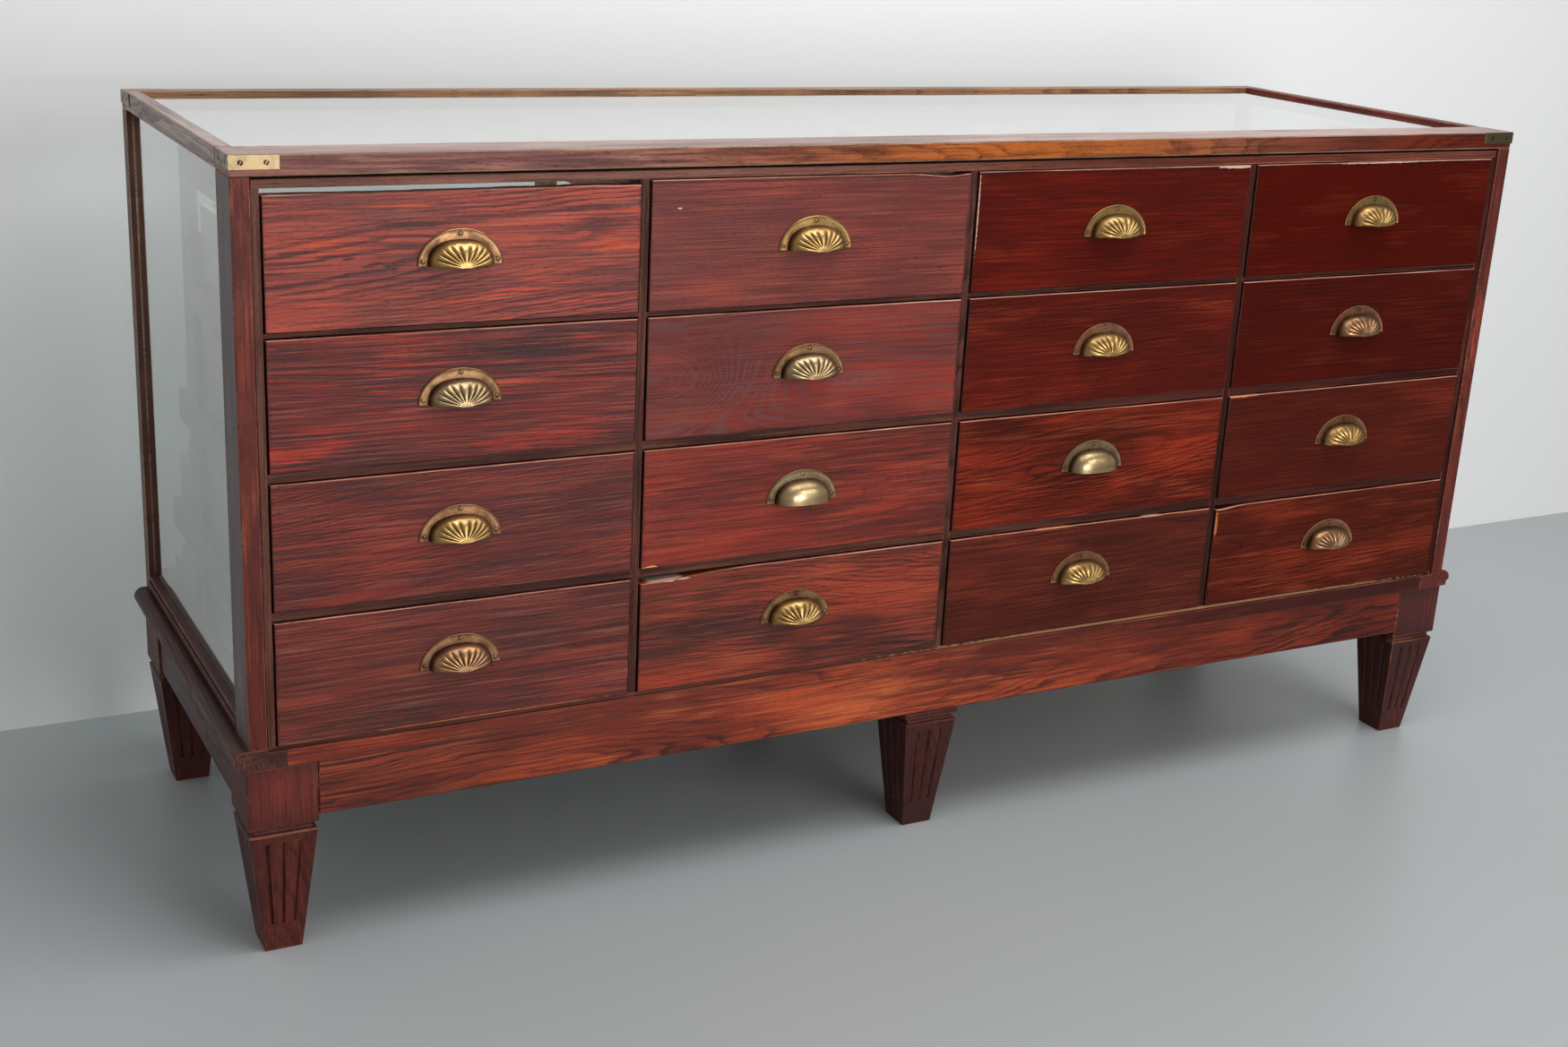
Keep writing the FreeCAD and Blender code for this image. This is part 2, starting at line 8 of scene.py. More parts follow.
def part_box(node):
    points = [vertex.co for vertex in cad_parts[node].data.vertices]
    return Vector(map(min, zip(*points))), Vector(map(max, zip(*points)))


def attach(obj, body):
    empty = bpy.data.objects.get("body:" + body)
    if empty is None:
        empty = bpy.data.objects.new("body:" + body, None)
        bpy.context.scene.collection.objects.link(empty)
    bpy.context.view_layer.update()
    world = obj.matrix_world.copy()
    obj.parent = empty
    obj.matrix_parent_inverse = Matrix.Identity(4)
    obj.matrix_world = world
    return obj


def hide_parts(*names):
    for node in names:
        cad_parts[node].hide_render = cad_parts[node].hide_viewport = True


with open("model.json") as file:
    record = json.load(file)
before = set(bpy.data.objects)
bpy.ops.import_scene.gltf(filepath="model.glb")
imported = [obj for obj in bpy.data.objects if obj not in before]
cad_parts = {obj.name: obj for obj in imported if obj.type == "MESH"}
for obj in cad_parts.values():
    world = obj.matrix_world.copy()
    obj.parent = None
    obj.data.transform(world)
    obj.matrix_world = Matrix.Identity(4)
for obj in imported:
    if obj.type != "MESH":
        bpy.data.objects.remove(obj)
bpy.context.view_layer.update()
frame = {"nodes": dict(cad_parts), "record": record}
nodes = frame["nodes"]
bodies = frame["record"]["behaviour"]["bodies"]
bodyOf = {node: body for body, members in bodies.items() for node in members}
# rows are counted from the top and columns from the left
drawers = [(row, column, "r%dc%d" % (row, column)) for row in range(1, 5) for column in range(1, 5)]
print("frame loaded:", len(nodes), "nodes")


def deselectAll():
    if bpy.context.object and bpy.context.object.mode != "OBJECT":
        bpy.ops.object.mode_set(mode="OBJECT")
    bpy.ops.object.select_all(action="DESELECT")


def makeActive(piece):
    deselectAll()
    piece.select_set(True)
    bpy.context.view_layer.objects.active = piece


def applyModifiers(piece):
    makeActive(piece)
    for modifier in list(piece.modifiers):
        bpy.ops.object.modifier_apply(modifier=modifier.name)


def startEdit(piece, mode, wanted):
    # edit mode with the faces or edges chosen that the test wants
    makeActive(piece)
    bpy.ops.object.mode_set(mode="EDIT")
    bpy.ops.mesh.select_mode(type=mode)
    bpy.ops.mesh.select_all(action="DESELECT")
    bpy.ops.object.mode_set(mode="OBJECT")
    corners = piece.data.vertices
    if mode == "FACE":
        for face in piece.data.polygons:
            face.select = wanted(face.center, face.normal)
    else:
        for edge in piece.data.edges:
            edge.select = wanted(*[corners[index].co for index in edge.vertices])
    bpy.ops.object.mode_set(mode="EDIT")


def editWhole(piece):
    makeActive(piece)
    bpy.ops.object.mode_set(mode="EDIT")
    bpy.ops.mesh.select_all(action="SELECT")


def endEdit():
    bpy.ops.mesh.select_all(action="DESELECT")
    bpy.ops.object.mode_set(mode="OBJECT")


def smoothBelow(angle):
    # the chosen piece looks round wherever its faces meet at less than this
    bpy.ops.object.shade_smooth_by_angle(angle=math.radians(angle))


def addBoard(name, low, high):
    # a sawn board between two corners
    deselectAll()
    low, high = Vector(low), Vector(high)
    bpy.ops.mesh.primitive_cube_add(size=1.0, location=(low + high) / 2.0)
    board = bpy.context.object
    board.name = name
    board.data.name = name
    board.scale = high - low
    bpy.ops.object.transform_apply(location=True, rotation=True, scale=True)
    return board


def addSheet(name, cellsX, cellsY):
    # a flat sheet from -1 to 1 both ways, ready to be beaten into shape
    deselectAll()
    bpy.ops.mesh.primitive_grid_add(x_subdivisions=cellsX, y_subdivisions=cellsY, size=2.0)
    sheet = bpy.context.object
    sheet.name = name
    return sheet


def joinPieces(pieces, name):
    makeActive(pieces[0])
    for piece in pieces[1:]:
        piece.select_set(True)
    bpy.ops.object.join()
    pieces[0].name = name
    pieces[0].data.name = name
    return pieces[0]


def copyPiece(piece, name, shift):
    twin = piece.copy()
    twin.data = piece.data.copy()
    twin.name = name
    twin.data.name = name
    bpy.context.scene.collection.objects.link(twin)
    twin.data.transform(Matrix.Translation(shift))
    return twin


copySettings = {"merge": 0.00002, "flat": math.radians(0.5)}


def copyOfNode(nodeName, pieceName):
    # the node's own mesh is loose triangles, so its copy is merged and its flat faces are joined up
    piece = nodes[nodeName].copy()
    piece.data = nodes[nodeName].data.copy()
    piece.name = pieceName
    piece.data.name = pieceName
    piece.parent = None
    bpy.context.scene.collection.objects.link(piece)
    for key in [key for key in piece.keys() if key.startswith("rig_")]:
        del piece[key]
    piece.data.materials.clear()
    editWhole(piece)
    bpy.ops.mesh.remove_doubles(threshold=copySettings["merge"])
    bpy.ops.mesh.dissolve_limited(angle_limit=copySettings["flat"])
    endEdit()
    return piece


arrisSettings = {"segments": 2, "sharp": math.radians(30.0), "smooth": 20.0}


def softenEdges(piece, width, wornSlot):
    # rounds the arrises and gives them the worn finish
    bevel = piece.modifiers.new("arris", "BEVEL")
    bevel.width = width
    bevel.segments = arrisSettings["segments"]
    bevel.limit_method = "WEIGHT" if "bevel_weight_edge" in piece.data.attributes else "ANGLE"
    bevel.angle_limit = arrisSettings["sharp"]
    bevel.material = wornSlot
    applyModifiers(piece)
    # flat faces stay flat beside the rounding, or they would mirror the room askew
    smoothBelow(arrisSettings["smooth"])


def camelName(nodeName):
    first, *others = nodeName.split("_")
    return first + "".join(word.capitalize() for word in others)


def settle(piece, nodeName):
    # the piece stands for its node and moves with the node's body
    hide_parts(nodeName)
    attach(piece, bodyOf[nodeName])


def linear(colour):
    # screen colour from 0 to 255, as the sockets take it
    def channel(value):
        share = value / 255.0
        return share / 12.92 if share <= 0.04045 else ((share + 0.055) / 1.055) ** 2.4
    return (*map(channel, colour), 1.0)


def feed(tree, socket, value):
    # a socket takes a link or a plain value
    if isinstance(value, bpy.types.NodeSocket):
        tree.links.new(value, socket)
    else:
        socket.default_value = value


def addNode(tree, kind, inputs=None, **settings):
    node = tree.nodes.new("ShaderNode" + kind)
    for name, value in settings.items():
        setattr(node, name, value)
    for label, value in (inputs or {}).items():
        feed(tree, node.inputs[label], value)
    return node


def calc(tree, operation, *values):
    return addNode(tree, "Math", dict(enumerate(values)), operation=operation).outputs["Value"]


def fade(tree, value, low, high, lowest=0.0, highest=1.0):
    # runs smoothly from lowest to highest while the value goes from low to high
    limits = dict(enumerate((value, low, high, lowest, highest)))
    return addNode(tree, "MapRange", limits, interpolation_type="SMOOTHSTEP").outputs["Result"]


def cloud(tree, vector, stretch, seed, detail=2.0):
    # noise stretched by three factors per metre
    mapping = addNode(tree, "Mapping", {"Vector": vector, "Scale": stretch})
    values = {"Vector": mapping.outputs["Vector"], "W": seed, "Scale": 1.0, "Detail": detail}
    return addNode(tree, "TexNoise", values, noise_dimensions="4D").outputs["Fac"]


def splitVector(tree, vector):
    return addNode(tree, "SeparateXYZ", {0: vector}).outputs


def blendColours(tree, share, first, second, mode="MIX"):
    return addNode(tree, "Mix", data_type="RGBA", blend_type=mode,
                   inputs={0: share, 6: first, 7: second}).outputs[2]


def newGroup(name, given, results):
    tree = bpy.data.node_groups.new(name, "ShaderNodeTree")
    kinds = {"v": "NodeSocketVector", "f": "NodeSocketFloat", "c": "NodeSocketColor"}
    for direction, sockets in (("INPUT", given), ("OUTPUT", results)):
        for label, kind in sockets.items():
            tree.interface.new_socket(name=label, in_out=direction, socket_type=kinds[kind])
    start = tree.nodes.new("NodeGroupInput")
    end = tree.nodes.new("NodeGroupOutput")
    return tree, start.outputs, end.inputs


def giveOut(tree, result, **values):
    for label, value in values.items():
        feed(tree, result[label], value)
    return tree


def placeGroup(tree, group, values):
    return addNode(tree, "Group", values, node_tree=group).outputs


def newMaterial(name):
    material = bpy.data.materials.new(name)
    material.use_nodes = True
    tree = material.node_tree
    return material, tree, tree.nodes["Principled BSDF"]


def addBump(tree, shader, height, strength, distance):
    bump = addNode(tree, "Bump", {"Strength": strength, "Distance": distance, "Height": height})
    feed(tree, shader.inputs["Normal"], bump.outputs["Normal"])


# waves per metre along the grain, through the board and across it
oakWaves = {
    "slow": (2.4, 12.0, 12.0), "quick": (17.0, 70.0, 70.0), "fibre": (9.0, 320.0, 320.0),
    "bold": (3.0, 16.0, 16.0), "pores": (110.0, 900.0, 900.0), "flecks": (95.0, 14.0, 24.0),
    "patches": (3.4, 13.0, 13.0), "thin": (7.0, 30.0, 30.0), "lines": (7.0, 380.0, 380.0),
    "edges": (26.0, 26.0, 60.0), "chips": (90.0, 90.0, 260.0),
}
black = (0.0, 0.0, 0.0, 1.0)


def makeOakGrain():
    # growth rings about a heart that lies behind the board, with open pores along them
    tree, given, result = newGroup(
        "oakGrain",
        {"Vector": "v", "Heart": "v", "Lean": "v", "Ring Width": "f", "Warp": "f",
         "Knot": "v", "Knot Size": "f", "Knot Pull": "f", "Seed": "f"},
        {"Growth": "f", "Pores": "f", "Fibre": "f", "Flecks": "f"})
    place, seed = given["Vector"], given["Seed"]
    labels = ("Vector", "Heart", "Lean", "Knot")
    point, heart, lean, knot = [splitVector(tree, given[label]) for label in labels]

    def offHeart(axis):
        straight = calc(tree, "SUBTRACT", point[axis], heart[axis])
        return calc(tree, "SUBTRACT", straight, calc(tree, "MULTIPLY", lean[axis], point["X"]))

    def fromKnot(axis, share):
        away = calc(tree, "SUBTRACT", point[axis], knot[axis])
        size = calc(tree, "MULTIPLY", given["Knot Size"], share)
        return calc(tree, "POWER", calc(tree, "DIVIDE", away, size), 2.0)

    depth, across = offHeart("Y"), offHeart("Z")
    square = calc(tree, "ADD", calc(tree, "MULTIPLY", depth, depth), calc(tree, "MULTIPLY", across, across))
    radius = calc(tree, "SQRT", square)
    slow = calc(tree, "SUBTRACT", cloud(tree, place, oakWaves["slow"], seed), 0.5)
    quick = calc(tree, "SUBTRACT", cloud(tree, place, oakWaves["quick"], seed), 0.5)
    bend = calc(tree, "MULTIPLY_ADD", quick, 0.22, slow)
    radius = calc(tree, "MULTIPLY_ADD", bend, given["Warp"], radius)
    near = calc(tree, "ADD", fromKnot("X", 1.0), fromKnot("Z", 0.4))
    swirl = calc(tree, "EXPONENT", calc(tree, "MULTIPLY", near, -1.0))
    radius = calc(tree, "MULTIPLY_ADD", swirl, given["Knot Pull"], radius)
    ring = calc(tree, "DIVIDE", radius, given["Ring Width"])
    uneven = addNode(tree, "TexNoise", noise_dimensions="1D", inputs={
        "W": calc(tree, "MULTIPLY_ADD", ring, 0.3, seed), "Scale": 1.0})
    ring = calc(tree, "MULTIPLY_ADD", uneven.outputs["Fac"], 2.2, ring)
    phase = calc(tree, "FRACT", ring)
    fibre = cloud(tree, place, oakWaves["fibre"], seed, 4.0)
    ragged = calc(tree, "MULTIPLY_ADD", calc(tree, "SUBTRACT", fibre, 0.5), 1.1, phase)
    growth = calc(tree, "SUBTRACT", 1.0, fade(tree, ragged, 0.05, 0.5))
    growth = calc(tree, "MAXIMUM", growth, fade(tree, phase, 0.9, 1.0))
    # the figure is bold in some places and faint in others
    bold = cloud(tree, place, oakWaves["bold"], calc(tree, "ADD", seed, 2.0))
    growth = calc(tree, "MULTIPLY", growth, fade(tree, bold, 0.36, 0.62, 0.25, 1.0))
    dots = fade(tree, cloud(tree, place, oakWaves["pores"], seed, 1.0), 0.55, 0.66)
    pores = calc(tree, "MULTIPLY", dots, calc(tree, "MULTIPLY_ADD", growth, 0.6, 0.4))
    flecks = fade(tree, cloud(tree, place, oakWaves["flecks"], seed), 0.56, 0.66)
    return giveOut(tree, result, Growth=growth, Pores=pores, Fibre=fibre, Flecks=flecks)


def makeStainedOak():
    # the grain under an old red stain that has worn thin in patches
    tree, given, result = newGroup(
        "stainedOak",
        {"Vector": "v", "Growth": "f", "Pores": "f", "Fibre": "f", "Flecks": "f",
         "Deep": "c", "Bright": "c", "Grain": "c", "Worn": "c", "Pale": "c",
         "Tone": "f", "Figure": "f", "Pore Depth": "f", "Wear": "f", "Fleck Share": "f", "Lines": "f",
         "Dust": "f", "Seed": "f"},
        {"Color": "c", "Roughness": "f", "Height": "f"})
    place, seed, fibre = given["Vector"], given["Seed"], given["Fibre"]
    patch = cloud(tree, place, oakWaves["patches"], seed, 3.0)
    streak = calc(tree, "MULTIPLY_ADD", calc(tree, "SUBTRACT", fibre, 0.5), 0.5, patch)
    share = fade(tree, calc(tree, "ADD", streak, calc(tree, "SUBTRACT", given["Tone"], 0.5)), 0.34, 0.68)
    colour = blendColours(tree, share, given["Deep"], given["Bright"])
    thin = cloud(tree, place, oakWaves["thin"], calc(tree, "ADD", seed, 5.0), 3.0)
    thin = calc(tree, "MULTIPLY_ADD", calc(tree, "SUBTRACT", fibre, 0.5), 0.6, thin)
    # fine dark lines along the board, and dust lying between them
    lines = cloud(tree, place, oakWaves["lines"], calc(tree, "ADD", seed, 8.0))
    for strength, mask, paint in (
            (given["Wear"], fade(tree, thin, 0.52, 0.72), given["Worn"]),
            (given["Fleck Share"], given["Flecks"], given["Pale"]),
            (given["Figure"], given["Growth"], given["Grain"]),
            (given["Lines"], fade(tree, lines, 0.5, 0.62), given["Grain"]),
            (given["Dust"], fade(tree, lines, 0.36, 0.46, 1.0, 0.0), given["Pale"]),
            (given["Pore Depth"], given["Pores"], blendColours(tree, 0.6, given["Grain"], black))):
        colour = blendColours(tree, calc(tree, "MULTIPLY", mask, strength), colour, paint)
    rough = calc(tree, "MULTIPLY_ADD", given["Growth"], 0.10, 0.30)
    rough = calc(tree, "MULTIPLY_ADD", patch, 0.22, rough)
    height = calc(tree, "MULTIPLY_ADD", given["Growth"], -0.45, calc(tree, "MULTIPLY", fibre, 0.5))
    height = calc(tree, "MULTIPLY_ADD", given["Pores"], -0.9, height)
    return giveOut(tree, result, Color=colour, Roughness=rough, Height=height)


def makeBoardEdge():
    # 1 at the ends and edges of a board centred on the vector, broken up along them
    tree, given, result = newGroup(
        "boardEdge", {"Vector": "v", "Half Size": "v", "Reach": "f", "Seed": "f"}, {"Mask": "f"})
    point, half = splitVector(tree, given["Vector"]), splitVector(tree, given["Half Size"])
    gaps = [calc(tree, "SUBTRACT", half[axis], calc(tree, "ABSOLUTE", point[axis])) for axis in ("X", "Z")]
    near = calc(tree, "MINIMUM", *gaps)
    broken = cloud(tree, given["Vector"], oakWaves["edges"], given["Seed"], 3.0)
    limit = calc(tree, "MULTIPLY", given["Reach"], fade(tree, broken, 0.35, 0.75, 0.15, 2.2))
    return giveOut(tree, result, Mask=calc(tree, "SUBTRACT", 1.0, fade(tree, near, 0.0, limit)))


def makeChip():
    # 1 in one ragged patch of the given size
    tree, given, result = newGroup(
        "chip", {"Vector": "v", "Place": "v", "Size": "v", "Seed": "f"}, {"Mask": "f"})
    away = addNode(tree, "VectorMath", {0: given["Vector"], 1: given["Place"]}, operation="SUBTRACT")
    share = addNode(tree, "VectorMath", {0: away.outputs[0], 1: given["Size"]}, operation="DIVIDE")
    length = addNode(tree, "VectorMath", {0: share.outputs[0]}, operation="LENGTH").outputs["Value"]
    ragged = cloud(tree, given["Vector"], oakWaves["chips"], given["Seed"], 3.0)
    edge = calc(tree, "MULTIPLY_ADD", ragged, 1.6, calc(tree, "SUBTRACT", length, 0.8))
    return giveOut(tree, result, Mask=calc(tree, "SUBTRACT", 1.0, fade(tree, edge, 0.75, 1.1)))


metalWaves = {"skin": (60.0, 60.0, 60.0), "spots": (420.0, 420.0, 420.0)}


def makeAgedMetal():
    # polished high places, dull skin and dark hollows
    tree, given, result = newGroup(
        "agedMetal",
        {"Vector": "v", "Hollow": "f", "Bright": "c", "Dull": "c", "Dark": "c", "Dullness": "f",
         "Seed": "f"},
        {"Color": "c", "Roughness": "f", "Height": "f"})
    skin = cloud(tree, given["Vector"], metalWaves["skin"], given["Seed"], 4.0)
    spots = cloud(tree, given["Vector"], metalWaves["spots"], given["Seed"], 3.0)
    mixed = calc(tree, "MULTIPLY_ADD", calc(tree, "SUBTRACT", spots, 0.5), 0.4, skin)
    dull = calc(tree, "MULTIPLY", fade(tree, mixed, 0.36, 0.66), given["Dullness"])
    colour = blendColours(tree, dull, given["Bright"], given["Dull"])
    hollow = calc(tree, "MULTIPLY", given["Hollow"], fade(tree, mixed, 0.2, 0.6, 0.7, 1.0))
    colour = blendColours(tree, hollow, colour, given["Dark"])
    rough = calc(tree, "MULTIPLY_ADD", dull, 0.22, 0.24)
    rough = calc(tree, "MULTIPLY_ADD", hollow, 0.25, rough)
    return giveOut(tree, result, Color=colour, Roughness=rough, Height=spots)


oakGrain = makeOakGrain()
stainedOak = makeStainedOak()
boardEdge = makeBoardEdge()
chipPatch = makeChip()
agedMetal = makeAgedMetal()
print("shared effects ready")

oakLook = {
    "along": "X",                 # the way the grain runs
    "centre": (0.0, 0.0, 0.0),    # middle of the board's face
    "half": None,                 # half its size, where its edges are grimy
    "heart": (0.06, -0.01), "lean": (0.03, 0.05),    # through the board and across it
    "ring": 0.0042, "warp": 0.02,
    "knot": (0.0, 0.0, 0.0), "knotSize": 0.05, "knotPull": 0.0,
    "deep": (78, 24, 16), "bright": (128, 44, 28), "grain": (44, 14, 12),
    "worn": (166, 78, 48), "pale": (186, 142, 118), "grime": (30, 14, 12),
    "tone": 0.5, "figure": 0.6, "poreDepth": 0.7, "wear": 0.3, "flecks": 0.0,
    "edgeReach": 0.004, "edgeDark": 0.5,
    "lines": 0.3, "dust": 0.0,
    "tints": (),                  # place along the board, how far it fades, what the colour is multiplied by
    "chips": (),                  # place along and across, size along and across, colour
    "sheen": 0.2, "coat": 0.04, "coatRoughness": 0.3, "bump": 0.35, "bumpDepth": 0.0006,
    "seed": 1.0,
}
axisOrders = {"X": "XYZ", "Y": "YXZ", "Z": "ZYX"}


def boardVector(tree, along, centre):
    # object coordinates from the board's middle, turned so that x runs with the grain
    place = addNode(tree, "TexCoord").outputs["Object"]
    moved = addNode(tree, "Mapping", {"Vector": place, "Location": [-value for value in centre]})
    point = splitVector(tree, moved.outputs["Vector"])
    turned = {axis: point[source] for axis, source in zip("XYZ", axisOrders[along])}
    return addNode(tree, "CombineXYZ", turned).outputs["Vector"]


def makeOak(name, changes):
    look = {**oakLook, **changes}
    material, tree, shader = newMaterial(name)
    place = boardVector(tree, look["along"], look["centre"])
    shared = {"Vector": place, "Seed": look["seed"]}
    grain = placeGroup(tree, oakGrain, {
        **shared, "Heart": (0.0, *look["heart"]), "Lean": (0.0, *look["lean"]), "Ring Width": look["ring"],
        "Warp": look["warp"], "Knot": look["knot"], "Knot Size": look["knotSize"],
        "Knot Pull": look["knotPull"]})
    values = {**shared, "Pore Depth": look["poreDepth"], "Fleck Share": look["flecks"]}
    for label in ("Tone", "Figure", "Wear", "Lines", "Dust"):
        values[label] = look[label.lower()]
    for label in ("Growth", "Pores", "Fibre", "Flecks"):
        values[label] = grain[label]
    for label in ("Deep", "Bright", "Grain", "Worn", "Pale"):
        values[label] = linear(look[label.lower()])
    oak = placeGroup(tree, stainedOak, values)
    colour = oak["Color"]
    for middle, reach, tint in look["tints"]:
        away = calc(tree, "ABSOLUTE", calc(tree, "SUBTRACT", splitVector(tree, place)["X"], middle))
        tinted = blendColours(tree, 1.0, colour, (*tint, 1.0), "MULTIPLY")
        colour = blendColours(tree, fade(tree, away, 0.0, reach, 1.0, 0.0), colour, tinted)
    if look["half"]:
        edge = placeGroup(tree, boardEdge, {**shared, "Half Size": look["half"], "Reach": look["edgeReach"]})
        dirt = calc(tree, "MULTIPLY", edge["Mask"], look["edgeDark"])
        colour = blendColours(tree, dirt, colour, linear(look["grime"]))
    for number, (along, across, length, height, chipColour) in enumerate(look["chips"]):
        chip = placeGroup(tree, chipPatch, {
            "Vector": place, "Place": (along, 0.0, across), "Size": (length, 1.0, height),
            "Seed": look["seed"] + number})
        colour = blendColours(tree, chip["Mask"], colour, linear(chipColour))
    feed(tree, shader.inputs["Base Color"], colour)
    feed(tree, shader.inputs["Roughness"], oak["Roughness"])
    shader.inputs["Specular IOR Level"].default_value = look["sheen"]
    shader.inputs["Coat Weight"].default_value = look["coat"]
    shader.inputs["Coat Roughness"].default_value = look["coatRoughness"]
    addBump(tree, shader, oak["Height"], look["bump"], look["bumpDepth"])
    return material


arrisLook = {"figure": 0.35, "tone": 0.5, "coat": 0.0}
# litEdge paints the light along the top arris of the drawer fronts, over some wear; darkEdge paints the shade
# on their other arrises and their ends
litEdge = makeOak("litTopArris", {
    **arrisLook, "deep": (120, 62, 46), "bright": (184, 128, 106), "worn": (214, 172, 150),
    "grain": (86, 34, 24), "wear": 0.8, "tone": 0.62, "seed": 31.0})
darkEdge = makeOak("paintedShadeArris", {
    **arrisLook, "deep": (34, 14, 11), "bright": (66, 26, 18), "worn": (104, 52, 36),
    "grain": (20, 8, 7), "wear": 0.3, "seed": 30.0})
redEdge = makeOak("wornRedArris", {
    **arrisLook, "deep": (92, 42, 33), "bright": (134, 76, 58), "worn": (176, 124, 100),
    "grain": (60, 24, 18), "wear": 0.5, "seed": 35.0})
brownEdge = makeOak("wornBrownArris", {
    **arrisLook, "deep": (112, 84, 70), "bright": (158, 130, 110), "worn": (190, 164, 138),
    "grain": (70, 42, 32), "wear": 0.7, "tone": 0.6, "seed": 32.0})
legEdge = makeOak("wornLegArris", {
    **arrisLook, "deep": (66, 28, 22), "bright": (112, 52, 36), "worn": (186, 118, 80),
    "grain": (44, 18, 14), "wear": 0.45, "seed": 33.0})

frontSettings = {
    "thickness": 0.018, "arris": 0.0011, "cuts": 63,
    "waveLength": 0.06, "rippleLength": 0.013,
    "underWear": -0.35,           # how much the lower edge has worn, against the upper one
}
orangeChip = (176, 96, 50)
yellowChip = (206, 150, 88)
paleChip = (206, 170, 150)
# columns on the left still have their polish and some dust in the grain
sheens = {
    1: {"sheen": 0.22, "coat": 0.03, "lines": 0.65, "dust": 0.12},
    2: {"sheen": 0.22, "coat": 0.03, "lines": 0.45, "dust": 0.06},
    3: {"sheen": 0.06, "coat": 0.01, "lines": 0.4},
    4: {"sheen": 0.04, "coat": 0.01, "lines": 0.35},
}
